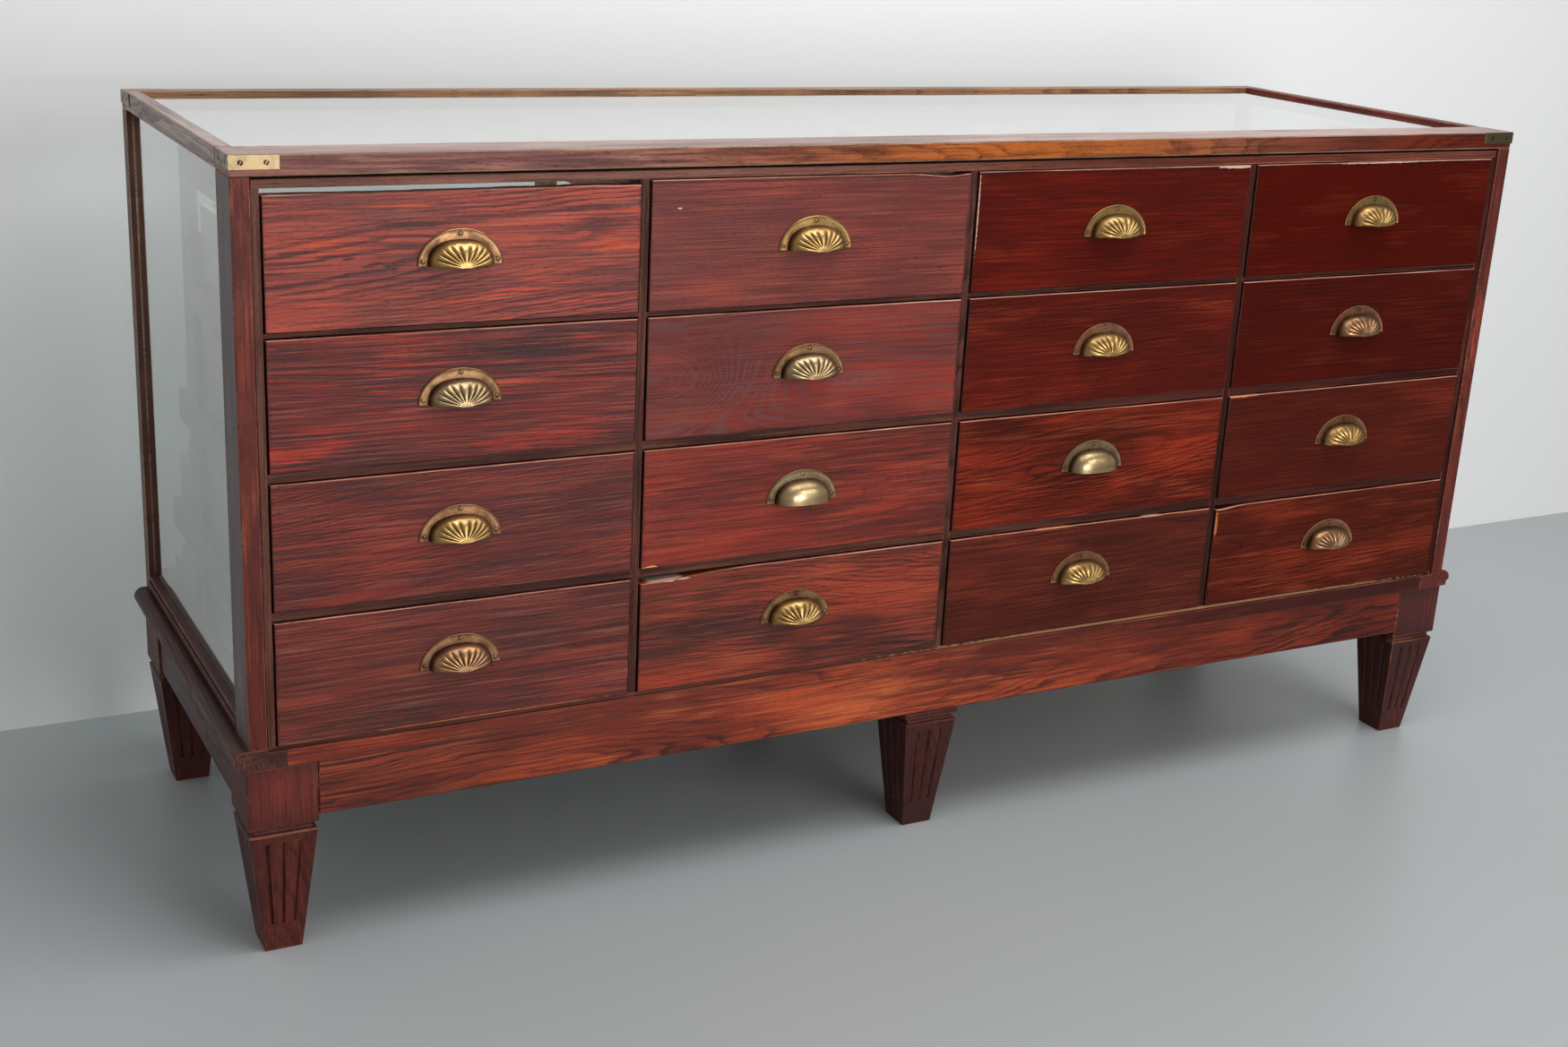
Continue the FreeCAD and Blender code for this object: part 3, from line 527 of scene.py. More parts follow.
# wave: how far the top edge has worn down; dips: place along it, depth, half width; rise: taller by this
frontLooks = {
    "r1c1": {
        "heart": (0.032, 0.012), "lean": (0.02, 0.11), "ring": 0.0052, "warp": 0.03, "tone": 0.58,
        "deep": (96, 38, 33), "bright": (162, 64, 48), "grain": (68, 38, 40), "worn": (200, 72, 36),
        "figure": 0.9, "wear": 0.8, "wave": 0.0018, "dips": ((-0.1, 0.0012, 0.22),)},
    "r1c2": {
        "heart": (0.02, 0.16), "lean": (0.01, 0.02), "ring": 0.0034, "warp": 0.012, "tone": 0.46,
        "deep": (106, 42, 36), "bright": (152, 60, 46), "grain": (64, 24, 22), "figure": 0.5, "wear": 0.2,
        "wave": 0.0006, "rise": 0.0038, "chips": ((-0.187, 0.047, 0.003, 0.001, paleChip),),
        "dips": ((0.19, 0.004, 0.035),)},
    "r1c3": {
        "heart": (0.03, -0.14), "lean": (0.01, 0.03), "ring": 0.0036, "warp": 0.012, "tone": 0.36,
        "deep": (80, 14, 5), "bright": (122, 28, 11), "grain": (50, 10, 6), "figure": 0.45, "wear": 0.1,
        "wave": 0.0006, "rise": 0.0038,
        "chips": ((-0.2235, 0.03, 0.002, 0.06, paleChip), (0.2, 0.079, 0.03, 0.002, paleChip))},
    "r1c4": {
        "heart": (0.08, -0.2), "lean": (0.0, 0.02), "ring": 0.004, "warp": 0.012, "tone": 0.3,
        "deep": (74, 11, 3), "bright": (114, 24, 8), "grain": (48, 9, 5), "figure": 0.4, "wear": 0.08,
        "wave": 0.0005, "rise": 0.0034, "chips": ((0.0, 0.08, 0.09, 0.0015, paleChip),)},
    "r2c1": {
        "heart": (0.026, 0.055), "lean": (0.015, -0.06), "ring": 0.0046, "warp": 0.026, "tone": 0.5,
        "deep": (82, 27, 23), "bright": (132, 41, 30), "grain": (54, 27, 28), "worn": (184, 52, 24),
        "figure": 0.9, "wear": 0.75, "wave": 0.0012},
    "r2c2": {
        "heart": (0.05, -0.02), "lean": (0.02, 0.0), "ring": 0.0048, "warp": 0.014, "tone": 0.45,
        "deep": (92, 24, 17), "bright": (142, 41, 27), "grain": (98, 62, 62), "figure": 0.65, "wear": 0.2,
        "knot": (-0.215, 0, -0.006), "knotSize": 0.13, "knotPull": 0.1, "wave": 0.0009},
    "r2c3": {
        "heart": (0.03, 0.1), "lean": (0.01, 0.09), "ring": 0.0036, "warp": 0.014, "tone": 0.36,
        "deep": (82, 19, 10), "bright": (122, 35, 19), "grain": (42, 12, 9), "figure": 0.65, "wear": 0.14,
        "wave": 0.0007},
    "r2c4": {
        "heart": (0.036, -0.09), "lean": (0.02, 0.02), "ring": 0.0045, "warp": 0.016, "tone": 0.28,
        "deep": (72, 15, 7), "bright": (106, 29, 15), "grain": (40, 12, 8), "figure": 0.6, "wear": 0.08,
        "wave": 0.0006},
    "r3c1": {
        "heart": (0.03, -0.05), "lean": (0.02, 0.14), "ring": 0.0036, "warp": 0.016, "tone": 0.48,
        "deep": (90, 30, 24), "bright": (140, 47, 34), "grain": (56, 28, 28), "figure": 0.75, "wear": 0.3,
        "wave": 0.001},
    "r3c2": {
        "heart": (0.11, -0.01), "lean": (0.0, 0.05), "ring": 0.005, "warp": 0.018, "tone": 0.55,
        "deep": (86, 26, 18), "bright": (146, 46, 28), "grain": (56, 19, 15), "figure": 0.5, "wear": 0.3,
        "wave": 0.0008, "chips": ((-0.212, -0.0765, 0.012, 0.002, yellowChip),)},
    "r3c3": {
        "heart": (0.022, 0.006), "lean": (0.016, 0.12), "ring": 0.0054, "warp": 0.034, "tone": 0.5,
        "deep": (76, 24, 14), "bright": (142, 46, 25), "grain": (40, 16, 13), "figure": 0.85, "wear": 0.3,
        "wave": 0.0009},
    "r3c4": {
        "heart": (0.09, 0.12), "lean": (0.01, 0.02), "ring": 0.004, "warp": 0.012, "tone": 0.34,
        "deep": (76, 25, 16), "bright": (108, 38, 24), "grain": (48, 18, 14), "figure": 0.45, "wear": 0.08,
        "wave": 0.0006, "chips": ((-0.2, 0.0765, 0.03, 0.0022, orangeChip),)},
    "r4c1": {
        "heart": (0.14, -0.06), "lean": (0.0, 0.03), "ring": 0.0044, "warp": 0.018, "tone": 0.46,
        "deep": (84, 33, 27), "bright": (128, 49, 37), "grain": (54, 27, 26), "figure": 0.55, "wear": 0.2,
        "dust": 0.12, "wave": 0.0009, "chips": ((0.04, -0.0765, 0.16, 0.0014, orangeChip),)},
    "r4c2": {
        "heart": (0.024, -0.012), "lean": (0.018, -0.1), "ring": 0.0056, "warp": 0.036, "tone": 0.5,
        "deep": (78, 30, 22), "bright": (156, 56, 31), "grain": (36, 17, 15), "figure": 0.75, "wear": 0.35,
        "wave": 0.0012, "dips": ((-0.24, 0.0075, 0.06), (-0.16, 0.003, 0.05)),
        "chips": ((-0.19, 0.071, 0.03, 0.002, paleChip),)},
    "r4c3": {
        "heart": (0.05, 0.05), "lean": (0.01, 0.04), "ring": 0.004, "warp": 0.016, "tone": 0.38,
        "deep": (80, 32, 23), "bright": (116, 46, 32), "grain": (42, 18, 14), "figure": 0.55, "wear": 0.15,
        "wave": 0.0011,
        "chips": ((-0.06, 0.0765, 0.04, 0.0014, orangeChip), (0.12, 0.0765, 0.02, 0.001, paleChip))},
    "r4c4": {
        "heart": (0.04, 0.02), "lean": (0.02, 0.06), "ring": 0.0046, "warp": 0.026, "tone": 0.44,
        "deep": (76, 26, 16), "bright": (130, 48, 28), "grain": (40, 16, 12), "figure": 0.6, "wear": 0.25,
        "wave": 0.0009, "chips": ((-0.2215, 0.05, 0.003, 0.02, orangeChip),),
        "dips": ((-0.22, 0.004, 0.03),)},
}


def edgeWear(look, along, layer, onTop, seed):
    # how far down an arris of the front has worn at one place along it
    s = frontSettings
    broad = noise.noise(Vector((along / s["waveLength"], seed, layer)))
    ripple = noise.noise(Vector((along / s["rippleLength"], seed + 9.0, layer)))
    drop = look["wave"] * (0.5 + 0.5 * broad + 0.35 * abs(ripple)) * (1.0 if onTop else s["underWear"])
    if onTop:
        drop -= look.get("rise", 0.0)
        for place, depth, reach in look.get("dips", ()):
            drop += depth * math.exp(-((along - place) / reach) ** 2)
    return drop


def makeFront(column, tag, seed):
    s, look = frontSettings, frontLooks[tag]
    low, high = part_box("drawer_" + tag)
    high = Vector((high.x, low.y + s["thickness"], high.z))
    piece = addBoard("drawerFront_" + tag, low, high)
    middle = (low + high) / 2.0
    # the long edges are cut up so that the top edge can wear unevenly
    startEdit(piece, "EDGE", lambda start, end: abs(start.x - end.x) > 0.1)
    bpy.ops.mesh.subdivide(number_cuts=s["cuts"])
    endEdit()
    for corner in piece.data.vertices:
        onTop = corner.co.z > middle.z
        corner.co.z -= edgeWear(look, corner.co.x - middle.x, corner.co.y * 20.0, onTop, seed)
    piece.data.materials.append(makeOak("frontOak_" + tag, {
        **sheens[column], **look, "centre": (middle.x, low.y, middle.z), "seed": seed,
        "half": ((high.x - low.x) / 2.0, 1.0, (high.z - low.z) / 2.0)}))
    piece.data.materials.append(litEdge)
    piece.data.materials.append(darkEdge)
    softenEdges(piece, s["arris"], 1)
    for face in piece.data.polygons:
        # the top arris takes the painted light; the other arrises and the ends of the board take the painted
        # shade
        if face.material_index == 1 and face.normal.z < 0.35 or abs(face.normal.x) > 0.9:
            face.material_index = 2
    settle(piece, "drawer_" + tag)


for row, column, tag in drawers:
    makeFront(column, tag, 3.0 * row + 17.0 * column)
print("drawer fronts ready")

boxSettings = {
    "inset": 0.0015, "side": 0.010, "full": 0.096, "low": 0.060, "trough": 0.058, "end": 0.010,
    "bottom": 0.005, "lift": 0.008, "arris": 0.0008,
}
boxOak = makeOak("drawerBoxOak", {"along": "Y", "deep": (158, 142, 124), "bright": (200, 186, 168),
                                  "grain": (128, 108, 90), "worn": (206, 192, 172), "figure": 0.35,
                                  "lines": 0.15, "coat": 0.0, "bump": 0.25, "seed": 41.0})
endOak = makeOak("drawerEndOak", {"deep": (150, 134, 116), "bright": (196, 180, 160),
                                  "grain": (118, 98, 80), "worn": (204, 188, 168), "figure": 0.4,
                                  "lines": 0.15, "coat": 0.0, "bump": 0.25, "seed": 42.0})


def makeBox(tag):
    s = boxSettings
    low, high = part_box("drawer_" + tag)
    x0, x1 = low.x + s["inset"], high.x - s["inset"]
    y0, y1 = low.y + frontSettings["thickness"], high.y
    step = y1 - s["trough"]
    side = addBoard("side", (x0, y0, low.z), (x0 + s["side"], y1, low.z + s["low"]))
    startEdit(side, "FACE", lambda centre, normal: True)
    bpy.ops.mesh.bisect(plane_co=(0.0, step, 0.0), plane_no=(0.0, 1.0, 0.0))
    endEdit()
    startEdit(side, "FACE", lambda centre, normal: normal.z > 0.9 and centre.y < step)
    bpy.ops.mesh.extrude_region_move(TRANSFORM_OT_translate={"value": (0.0, 0.0, s["full"] - s["low"])})
    endEdit()
    twin = copyPiece(side, "side", (x1 - x0 - s["side"], 0.0, 0.0))
    inner0, inner1 = x0 + s["side"], x1 - s["side"]
    floorZ = low.z + s["lift"] + s["bottom"]
    stepZ, topZ = low.z + s["low"], low.z + s["full"]
    panel = addBoard("panel", (inner0, y0, low.z + s["lift"]), (inner1, y1, floorZ))
    lowEnd = addBoard("lowEnd", (inner0, y1 - s["end"], floorZ), (inner1, y1, stepZ))
    highEnd = addBoard("highEnd", (inner0, step - s["end"], stepZ), (inner1, step, topZ))
    boards = [side, twin, panel, lowEnd, highEnd]
    for board in boards:
        board.data.materials.append(endOak if board in (lowEnd, highEnd) else boxOak)
    return joinPieces(boards, "drawerBox_" + tag)


for row, column, tag in drawers:
    # the boxes of one row are alike
    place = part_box("drawer_" + tag)[0]
    if column == 1:
        firstBox, firstPlace = makeBox(tag), place
        softenEdges(firstBox, boxSettings["arris"], -1)
    box = firstBox if column == 1 else copyPiece(firstBox, "drawerBox_" + tag, place - firstPlace)
    settle(box, "drawer_" + tag)
print("drawer boxes ready")

redOak = {"deep": (92, 34, 26), "bright": (142, 58, 40), "grain": (52, 20, 18), "worn": (176, 92, 60)}
brownOak = {"deep": (88, 52, 44), "bright": (132, 86, 68), "grain": (50, 28, 24), "worn": (166, 120, 92)}
# the grey colours below paint the reflection seen on the left faces at a grazing angle, and the pale ones for
# the top of the front rail paint its sheen, with some dust
greyOak = {"deep": (128, 110, 106), "bright": (180, 161, 155), "grain": (82, 65, 62), "worn": (194, 172, 160)}
dullOak = {"deep": (88, 74, 72), "bright": (124, 108, 104), "grain": (56, 44, 42), "worn": (140, 120, 112)}
dustAndSheenOak = {"deep": (126, 104, 98), "bright": (180, 154, 146), "grain": (92, 70, 64),
             "worn": (196, 172, 162), "tints": ()}
orangeOak = {"deep": (112, 40, 24), "bright": (176, 74, 40), "grain": (52, 22, 16), "worn": (206, 116, 66)}
umberOak = {"deep": (60, 32, 28), "bright": (98, 52, 43), "grain": (36, 18, 16), "worn": (130, 78, 60),
            "wear": 0.2}
legOak = {"deep": (60, 26, 22), "bright": (92, 38, 30), "grain": (34, 15, 13), "worn": (120, 60, 44),
          "wear": 0.15, "figure": 0.45, "lines": 0.35, "tints": ((0.09, 0.05, (1.6, 1.4, 1.4)),)}
goldenOak = {"deep": (110, 74, 50), "bright": (164, 120, 82), "grain": (66, 40, 28), "worn": (186, 146, 104)}
# wood, way of the grain, tone, width and finish of the arrises, other changes
casePieces = {
    "front_top_rail": (brownOak, "X", 0.55, 0.0016, brownEdge, {
        "figure": 0.45, "ring": 0.003, "lines": 0.45, "sheen": 0.12,
        # the pale bluish tint at the left end paints the sheen seen on the rail's face there
        "tints": ((-0.75, 0.9, (1.6, 1.55, 1.85)), (0.05, 0.6, (1.75, 1.08, 0.24)),
                  (0.85, 0.75, (0.54, 0.15, 0.055)))}),
    "back_top_rail": (goldenOak, "X", 0.5, 0.0012, brownEdge, {"ring": 0.003}),
    "left_top_rail": (greyOak, "Y", 0.5, 0.0016, brownEdge, {"ring": 0.003}),
    "right_top_rail": (redOak, "Y", 0.4, 0.0016, redEdge, {"ring": 0.003}),
    "front_left_post": (redOak, "Z", 0.38, 0.0012, redEdge, {"ring": 0.0024}),
    "front_right_post": (redOak, "Z", 0.35, 0.0012, redEdge, {"ring": 0.0024}),
    "back_left_post": (brownOak, "Z", 0.35, 0.001, brownEdge, {"ring": 0.0024}),
    "back_right_post": (redOak, "Z", 0.35, 0.001, brownEdge, {"ring": 0.0024}),
    "left_base_rail": (umberOak, "Y", 0.42, 0.001, redEdge, {}),
    "right_base_rail": (redOak, "Y", 0.4, 0.001, redEdge, {}),
    "front_base_rail": (orangeOak, "X", 0.36, 0.0012, legEdge, {
        "ring": 0.003, "lines": 0.4, "tints": ((0.8, 1.2, (0.27, 0.12, 0.085)),)}),
    "back_plinth": (redOak, "X", 0.4, 0.0012, redEdge, {}),
    "front_apron": (orangeOak, "X", 0.5, 0.0015, legEdge, {
        "figure": 0.85, "warp": 0.034, "ring": 0.0046,
        "tints": ((0.85, 1.0, (0.46, 0.3, 0.27)), (-0.85, 0.4, (0.66, 0.72, 0.85)))}),
    "left_apron": (umberOak, "Y", 0.42, 0.0015, redEdge, {}),
    "right_apron": (redOak, "Y", 0.4, 0.0015, redEdge, {}),
    "front_left_leg": (legOak, "Z", 0.5, 0.0018, legEdge, {}),
    "front_middle_leg": (legOak, "Z", 0.36, 0.0018, legEdge, {}),
    "front_right_leg": (legOak, "Z", 0.36, 0.0018, legEdge, {}),
    "back_left_leg": (legOak, "Z", 0.3, 0.0018, legEdge, {}),
    "back_middle_leg": (legOak, "Z", 0.3, 0.0018, legEdge, {}),
    "back_right_leg": (legOak, "Z", 0.3, 0.0018, legEdge, {}),
}
caseSeed = 51.0
fluteOak = makeOak("fluteOak", {
    "along": "Z", "deep": (58, 25, 20), "bright": (90, 38, 30), "grain": (34, 15, 13), "worn": (106, 52, 38),
    "coat": 0.0, "seed": 34.0})
# faces that take colours of their own, painted sheen seen on them at a grazing angle, with dust on the rail's
# top: which way they look, and their colours
paintedSheenFaces = {
    "front_top_rail": (Vector((0.0, 0.0, 1.0)), dustAndSheenOak),
    "front_left_post": (Vector((-1.0, 0.0, 0.0)), dullOak),
}


def isFluteFace(normal, centre, low, high):
    # the flutes end above the sole and well below the block
    slanted = min(abs(normal.x), abs(normal.y)) > 0.3
    stopped = 0.3 < abs(normal.z) < 0.95 and low + 0.005 < centre.z < high - 0.1
    return slanted or stopped


def weighArrises(piece, sharpSlot):
    # weights for the bevel: nothing along the edges of the faces in the sharp slot
    sides = {}
    for face in piece.data.polygons:
        for key in face.edge_keys:
            sides.setdefault(key, []).append(face)
    weights = piece.data.attributes.new("bevel_weight_edge", "FLOAT", "EDGE")
    for edge in piece.data.edges:
        pair = sides.get(edge.key, [])
        sharp = len(pair) != 2 or sharpSlot in [face.material_index for face in pair]
        bent = not sharp and pair[0].normal.angle(pair[1].normal) > arrisSettings["sharp"]
        weights.data[edge.index].value = 1.0 if bent else 0.0


def makeCasePiece(nodeName, seed):
    wood, along, tone, arris, wornEdge, changes = casePieces[nodeName]
    pieceName = camelName(nodeName)
    piece = copyOfNode(nodeName, pieceName)
    low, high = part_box(nodeName)
    look = {**wood, "centre": (low + high) / 2.0, "along": along, "tone": tone, "seed": seed, **changes}
    piece.data.materials.append(makeOak(pieceName + "Oak", look))
    piece.data.materials.append(wornEdge)
    if nodeName in paintedSheenFaces:
        # these faces get colours that paint their sheen
        outlook, sheenLook = paintedSheenFaces[nodeName]
        piece.data.materials.append(makeOak(pieceName + "AgedOak", {**look, **sheenLook}))
        for face in piece.data.polygons:
            if face.normal.dot(outlook) > 0.9:
                face.material_index = 2
    if nodeName.endswith("_leg"):
        # the flutes take a finish of their own, a little darker and without a coat, and their edges stay
        # sharp
        piece.data.materials.append(fluteOak)
        for face in piece.data.polygons:
            if isFluteFace(face.normal, face.center, low.z, high.z):
                face.material_index = 2
        weighArrises(piece, 2)
    softenEdges(piece, arris, 1)
    settle(piece, nodeName)


for number, nodeName in enumerate(casePieces):
    makeCasePiece(nodeName, caseSeed + number)
print("case ready")

nestSettings = {
    "arris": 0.0007,
    "upright": 0.3,               # faces taller than this belong to upright strips
    "head": 0.0101,               # height of the paler rail along the top
    "endStrips": -0.6, "rightStrips": 0.15,    # strips beyond these places have finishes of their own
    # bare wood along the front edge of the bottom board
    "foot": {"place": 0.42, "reach": 0.5, "height": 0.008, "colour": (150, 112, 78)},
}
# the dark colours of the nest paint the shade in the gaps between the drawer fronts; the rails darken toward
# the right, and the strips at the right are darkest
nestLook = {"deep": (58, 32, 26), "bright": (98, 57, 47), "grain": (34, 18, 15), "worn": (130, 88, 66),
            "ring": 0.0022, "warp": 0.008, "wear": 0.25, "sheen": 0.1, "coat": 0.0, "seed": 81.0,
            "tints": ((0.8, 0.95, (0.62, 0.34, 0.27)),)}
nestUpright = {**nestLook, "along": "Z", "seed": 84.0, "tints": ()}
runnerLook = {"deep": (128, 98, 74), "bright": (172, 140, 108), "grain": (96, 68, 50),
              "worn": (188, 158, 124), "along": "Y", "ring": 0.0028, "coat": 0.0, "seed": 82.0}
nestLow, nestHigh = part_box("nest_frame")
foot = nestSettings["foot"]
nestLooks = {
    "Rails": {**nestLook, "chips": ((foot["place"], nestLow.z, foot["reach"], foot["height"],
                                     foot["colour"]),)},
    "Uprights": nestUpright,
    "Head": {**nestLook, "deep": (94, 58, 48), "bright": (140, 94, 80), "grain": (60, 34, 28),
             "tints": ((0.5, 1.0, (0.66, 0.36, 0.28)),)},
    "EndStrip": {**nestUpright, "deep": (78, 46, 38), "bright": (118, 76, 64), "grain": (50, 28, 23)},
    "RightStrips": {**nestUpright, "deep": (44, 18, 13), "bright": (72, 28, 20), "grain": (26, 10, 8)},
}
runnerLooks = {"Rails": runnerLook, "Uprights": {**runnerLook, "along": "Z", "seed": 85.0}}


def nestSlot(centre, upright):
    if not upright:
        return 3 if centre.z > nestHigh.z - nestSettings["head"] else 0
    if centre.x < nestSettings["endStrips"]:
        return 4
    return 5 if centre.x > nestSettings["rightStrips"] else 2


def runnerSlot(centre, upright):
    return 2 if upright else 0


def makeNest(nodeName, looks, slotOf, arris):
    # slotOf says which finish a face takes: the rails' one, the worn arris, then the others in turn
    pieceName = camelName(nodeName)
    piece = copyOfNode(nodeName, pieceName)
    finishes = [makeOak(pieceName + label, look) for label, look in looks.items()]
    for finish in (finishes[0], redEdge, *finishes[1:]):
        piece.data.materials.append(finish)
    for face in piece.data.polygons:
        heights = [piece.data.vertices[index].co.z for index in face.vertices]
        face.material_index = slotOf(face.center, max(heights) - min(heights) > nestSettings["upright"])
    if arris:
        softenEdges(piece, arris, 1)
    settle(piece, nodeName)


makeNest("nest_frame", nestLooks, nestSlot, nestSettings["arris"])
makeNest("drawer_runners", runnerLooks, runnerSlot, 0.0)
print("nest ready")

glassSettings = {
    "tint": (240, 246, 244), "ior": 1.52, "coatIor": 1.8, "coatRoughness": 0.02,
    "smears": (9.0, 9.0, 9.0), "smearRoughness": 0.07, "arris": 0.0006, "seed": 91.0,
}


def seeThrough(tree, share, surface, tint):
    # the surface is clear where the share is 1
    clear = addNode(tree, "BsdfTransparent", {"Color": tint})
    mix = addNode(tree, "MixShader", {"Fac": share, 1: surface.outputs["BSDF"], 2: clear.outputs["BSDF"]})
    feed(tree, tree.nodes["Material Output"].inputs["Surface"], mix.outputs["Shader"])


def makeGlass(name, seed):
    s = glassSettings
    material, tree, shader = newMaterial(name)
    tint = linear(s["tint"])
    plain = {"Base Color": tint, "Transmission Weight": 1.0, "IOR": s["ior"],
             "Coat Weight": 1.0, "Coat IOR": s["coatIor"], "Coat Roughness": s["coatRoughness"]}
    for label, value in plain.items():
        shader.inputs[label].default_value = value
    smears = cloud(tree, addNode(tree, "TexCoord").outputs["Object"], s["smears"], seed, 4.0)
    feed(tree, shader.inputs["Roughness"], fade(tree, smears, 0.45, 0.8, 0.0, s["smearRoughness"]))
    seeThrough(tree, addNode(tree, "LightPath").outputs["Is Shadow Ray"], shader, tint)
    return material


for number, side in enumerate(("top", "left", "right", "back")):
    pane = copyOfNode(side + "_glass", side + "Pane")
    pane.data.materials.append(makeGlass(side + "PaneGlass", glassSettings["seed"] + number))
    softenEdges(pane, glassSettings["arris"], -1)
    settle(pane, side + "_glass")
print("glass ready")

yellowBrass = {"bright": (190, 154, 98), "dull": (134, 100, 58), "dark": (44, 27, 16)}
copperBrass = {"bright": (184, 138, 102), "dull": (134, 88, 66), "dark": (42, 22, 16)}
oliveBrass = {"bright": (174, 150, 112), "dull": (124, 98, 72), "dark": (38, 26, 19)}
brownBrass = {"bright": (170, 130, 94), "dull": (126, 90, 64), "dark": (42, 24, 18)}
paleBrass = {"bright": (117, 101, 76), "dull": (99, 83, 61), "dark": (46, 33, 22)}
darkBrass = {"bright": (112, 92, 68), "dull": (82, 66, 50), "dark": (32, 24, 19)}
# flange, dome and how far the pull has dulled
pullLooks = {
    "r1c1": (brownBrass, yellowBrass, 0.5), "r1c2": (yellowBrass, yellowBrass, 0.55),
    "r1c3": (yellowBrass, yellowBrass, 0.6), "r1c4": (yellowBrass, yellowBrass, 0.65),
    "r2c1": (brownBrass, oliveBrass, 0.6), "r2c2": (brownBrass, oliveBrass, 0.6),
    "r2c3": (copperBrass, yellowBrass, 0.75), "r2c4": (copperBrass, brownBrass, 0.85),
    "r3c1": (copperBrass, yellowBrass, 0.6), "r3c2": (oliveBrass, oliveBrass, 0.5),
    "r3c3": (oliveBrass, oliveBrass, 0.65), "r3c4": (copperBrass, yellowBrass, 0.85),
    "r4c1": (copperBrass, brownBrass, 0.6), "r4c2": (brownBrass, yellowBrass, 0.75),
    "r4c3": (copperBrass, yellowBrass, 0.85), "r4c4": (copperBrass, brownBrass, 0.7),
}
metalBump = {"strength": 0.12, "depth": 0.0003}


def makeMetal(name, look, dullness, seed):
    material, tree, shader = newMaterial(name)
    values = {label: linear(look[label.lower()]) for label in ("Bright", "Dull", "Dark")}
    metal = placeGroup(tree, agedMetal, {
        **values, "Vector": addNode(tree, "TexCoord").outputs["Object"], "Dullness": dullness, "Seed": seed,
        "Hollow": addNode(tree, "Attribute", attribute_name="hollow").outputs["Fac"]})
    shader.inputs["Metallic"].default_value = 1.0
    feed(tree, shader.inputs["Base Color"], metal["Color"])
    feed(tree, shader.inputs["Roughness"], metal["Roughness"])
    addBump(tree, shader, metal["Height"], metalBump["strength"], metalBump["depth"])
    return material


def markHollows(piece, dirtAt):
    # how much dirt lies at each corner, for the metal's finish
    hollow = piece.data.attributes.new("hollow", "FLOAT", "POINT")
    for corner in piece.data.vertices:
        hollow.data[corner.index].value = dirtAt(corner.co)


pullSettings = {
    "width": 0.102, "height": 0.0415, "plate": 0.002,
    "domeWidth": 0.079, "domeHeight": 0.0296, "reach": 0.022, "wall": 0.002,
    "fullness": 2.4,              # 2 is an oval, and more has fuller shoulders
    "aroundCells": 88, "outCells": 26, "flangeCells": 72, "lipCells": (48, 8),
    "tip": 0.012,
    "ribs": 11, "ribDepth": 0.0017, "ribEdge": 1.5,
    "boss": 0.2, "bossFade": 0.08,             # the ribs run out on a smooth boss
    "ribFoot": 0.9, "ribFootFade": 0.14,       # and above the plate
    "ribFull": 0.45,                           # share of the dome past which they have their full depth
    "ribDirt": 0.75, "shoulderDirt": 0.32, "shoulder": 0.72, "shoulderFade": 0.2, "footDirt": 12.0,
    # share of the way from the dome's foot to the rim, and depth there: a shallow dish inside a raised bead
    "flangeSteps": ((0.0, 0.0), (0.3, 0.0), (0.6, 0.0002), (0.84, 0.0004), (0.9, 0.0002), (0.955, -0.0002),
                    (1.0, 0.0002)),
    "lipThick": 0.0008, "lipHeight": 0.0012,
    "screwSize": 0.0052, "screwHeight": 0.0009, "screwSlot": 0.0009, "screwSink": 0.0004,
    "screwPlaces": ((-0.0448, 0.0052), (0.0, 0.0361), (0.0448, 0.0052)), "screwTurns": (0.5, 1.2, 2.3),
    "plain": ("r3c2", "r3c3"),
    "rises": (0.0044, 0.004, 0.0025, 0.002),   # of each row's pulls above the lower edge of their node
}
flangeDirt = {"foot": 0.85, "footPlace": 1.03, "footFade": 14.0, "screw": 1.6, "screwReach": 0.0054,
              "dish": 0.5, "rim": 0.1, "rimStart": 0.95}


def clamp(value):
    return min(1.0, max(0.0, value))


def fullOutline(angle):
    # a half oval with fuller shoulders than an ellipse
    power = 2.0 / pullSettings["fullness"]
    across = math.cos(angle)
    return math.copysign(abs(across) ** power, across), max(0.0, math.sin(angle)) ** power


def domePoint(angle, share, drawnIn):
    # share is 1 at the plate and 0 where the dome reaches furthest, its lip nearly straight along the middle
    s = pullSettings
    out = max(0.0, 1.0 - share ** s["fullness"]) ** (1.0 / s["fullness"])
    across, up = fullOutline(angle)
    point = Vector((s["domeWidth"] / 2.0 * share * across, -s["plate"] - s["reach"] * out,
                    s["domeHeight"] * share * up))
    away = Vector((point.x / (s["domeWidth"] / 2.0) ** 2, (point.y + s["plate"]) / s["reach"] ** 2,
                   point.z / s["domeHeight"] ** 2)).normalized()
    return point - away * drawnIn


def ribGroove(angle, share):
    # 0 on the crest of a rib, 1 in the groove beside it
    s = pullSettings
    groove = (1.0 - abs(math.sin(s["ribs"] * angle))) ** s["ribEdge"]
    groove *= clamp((s["ribFoot"] - share) / s["ribFootFade"])
    return groove * clamp((share - s["boss"]) / s["bossFade"])


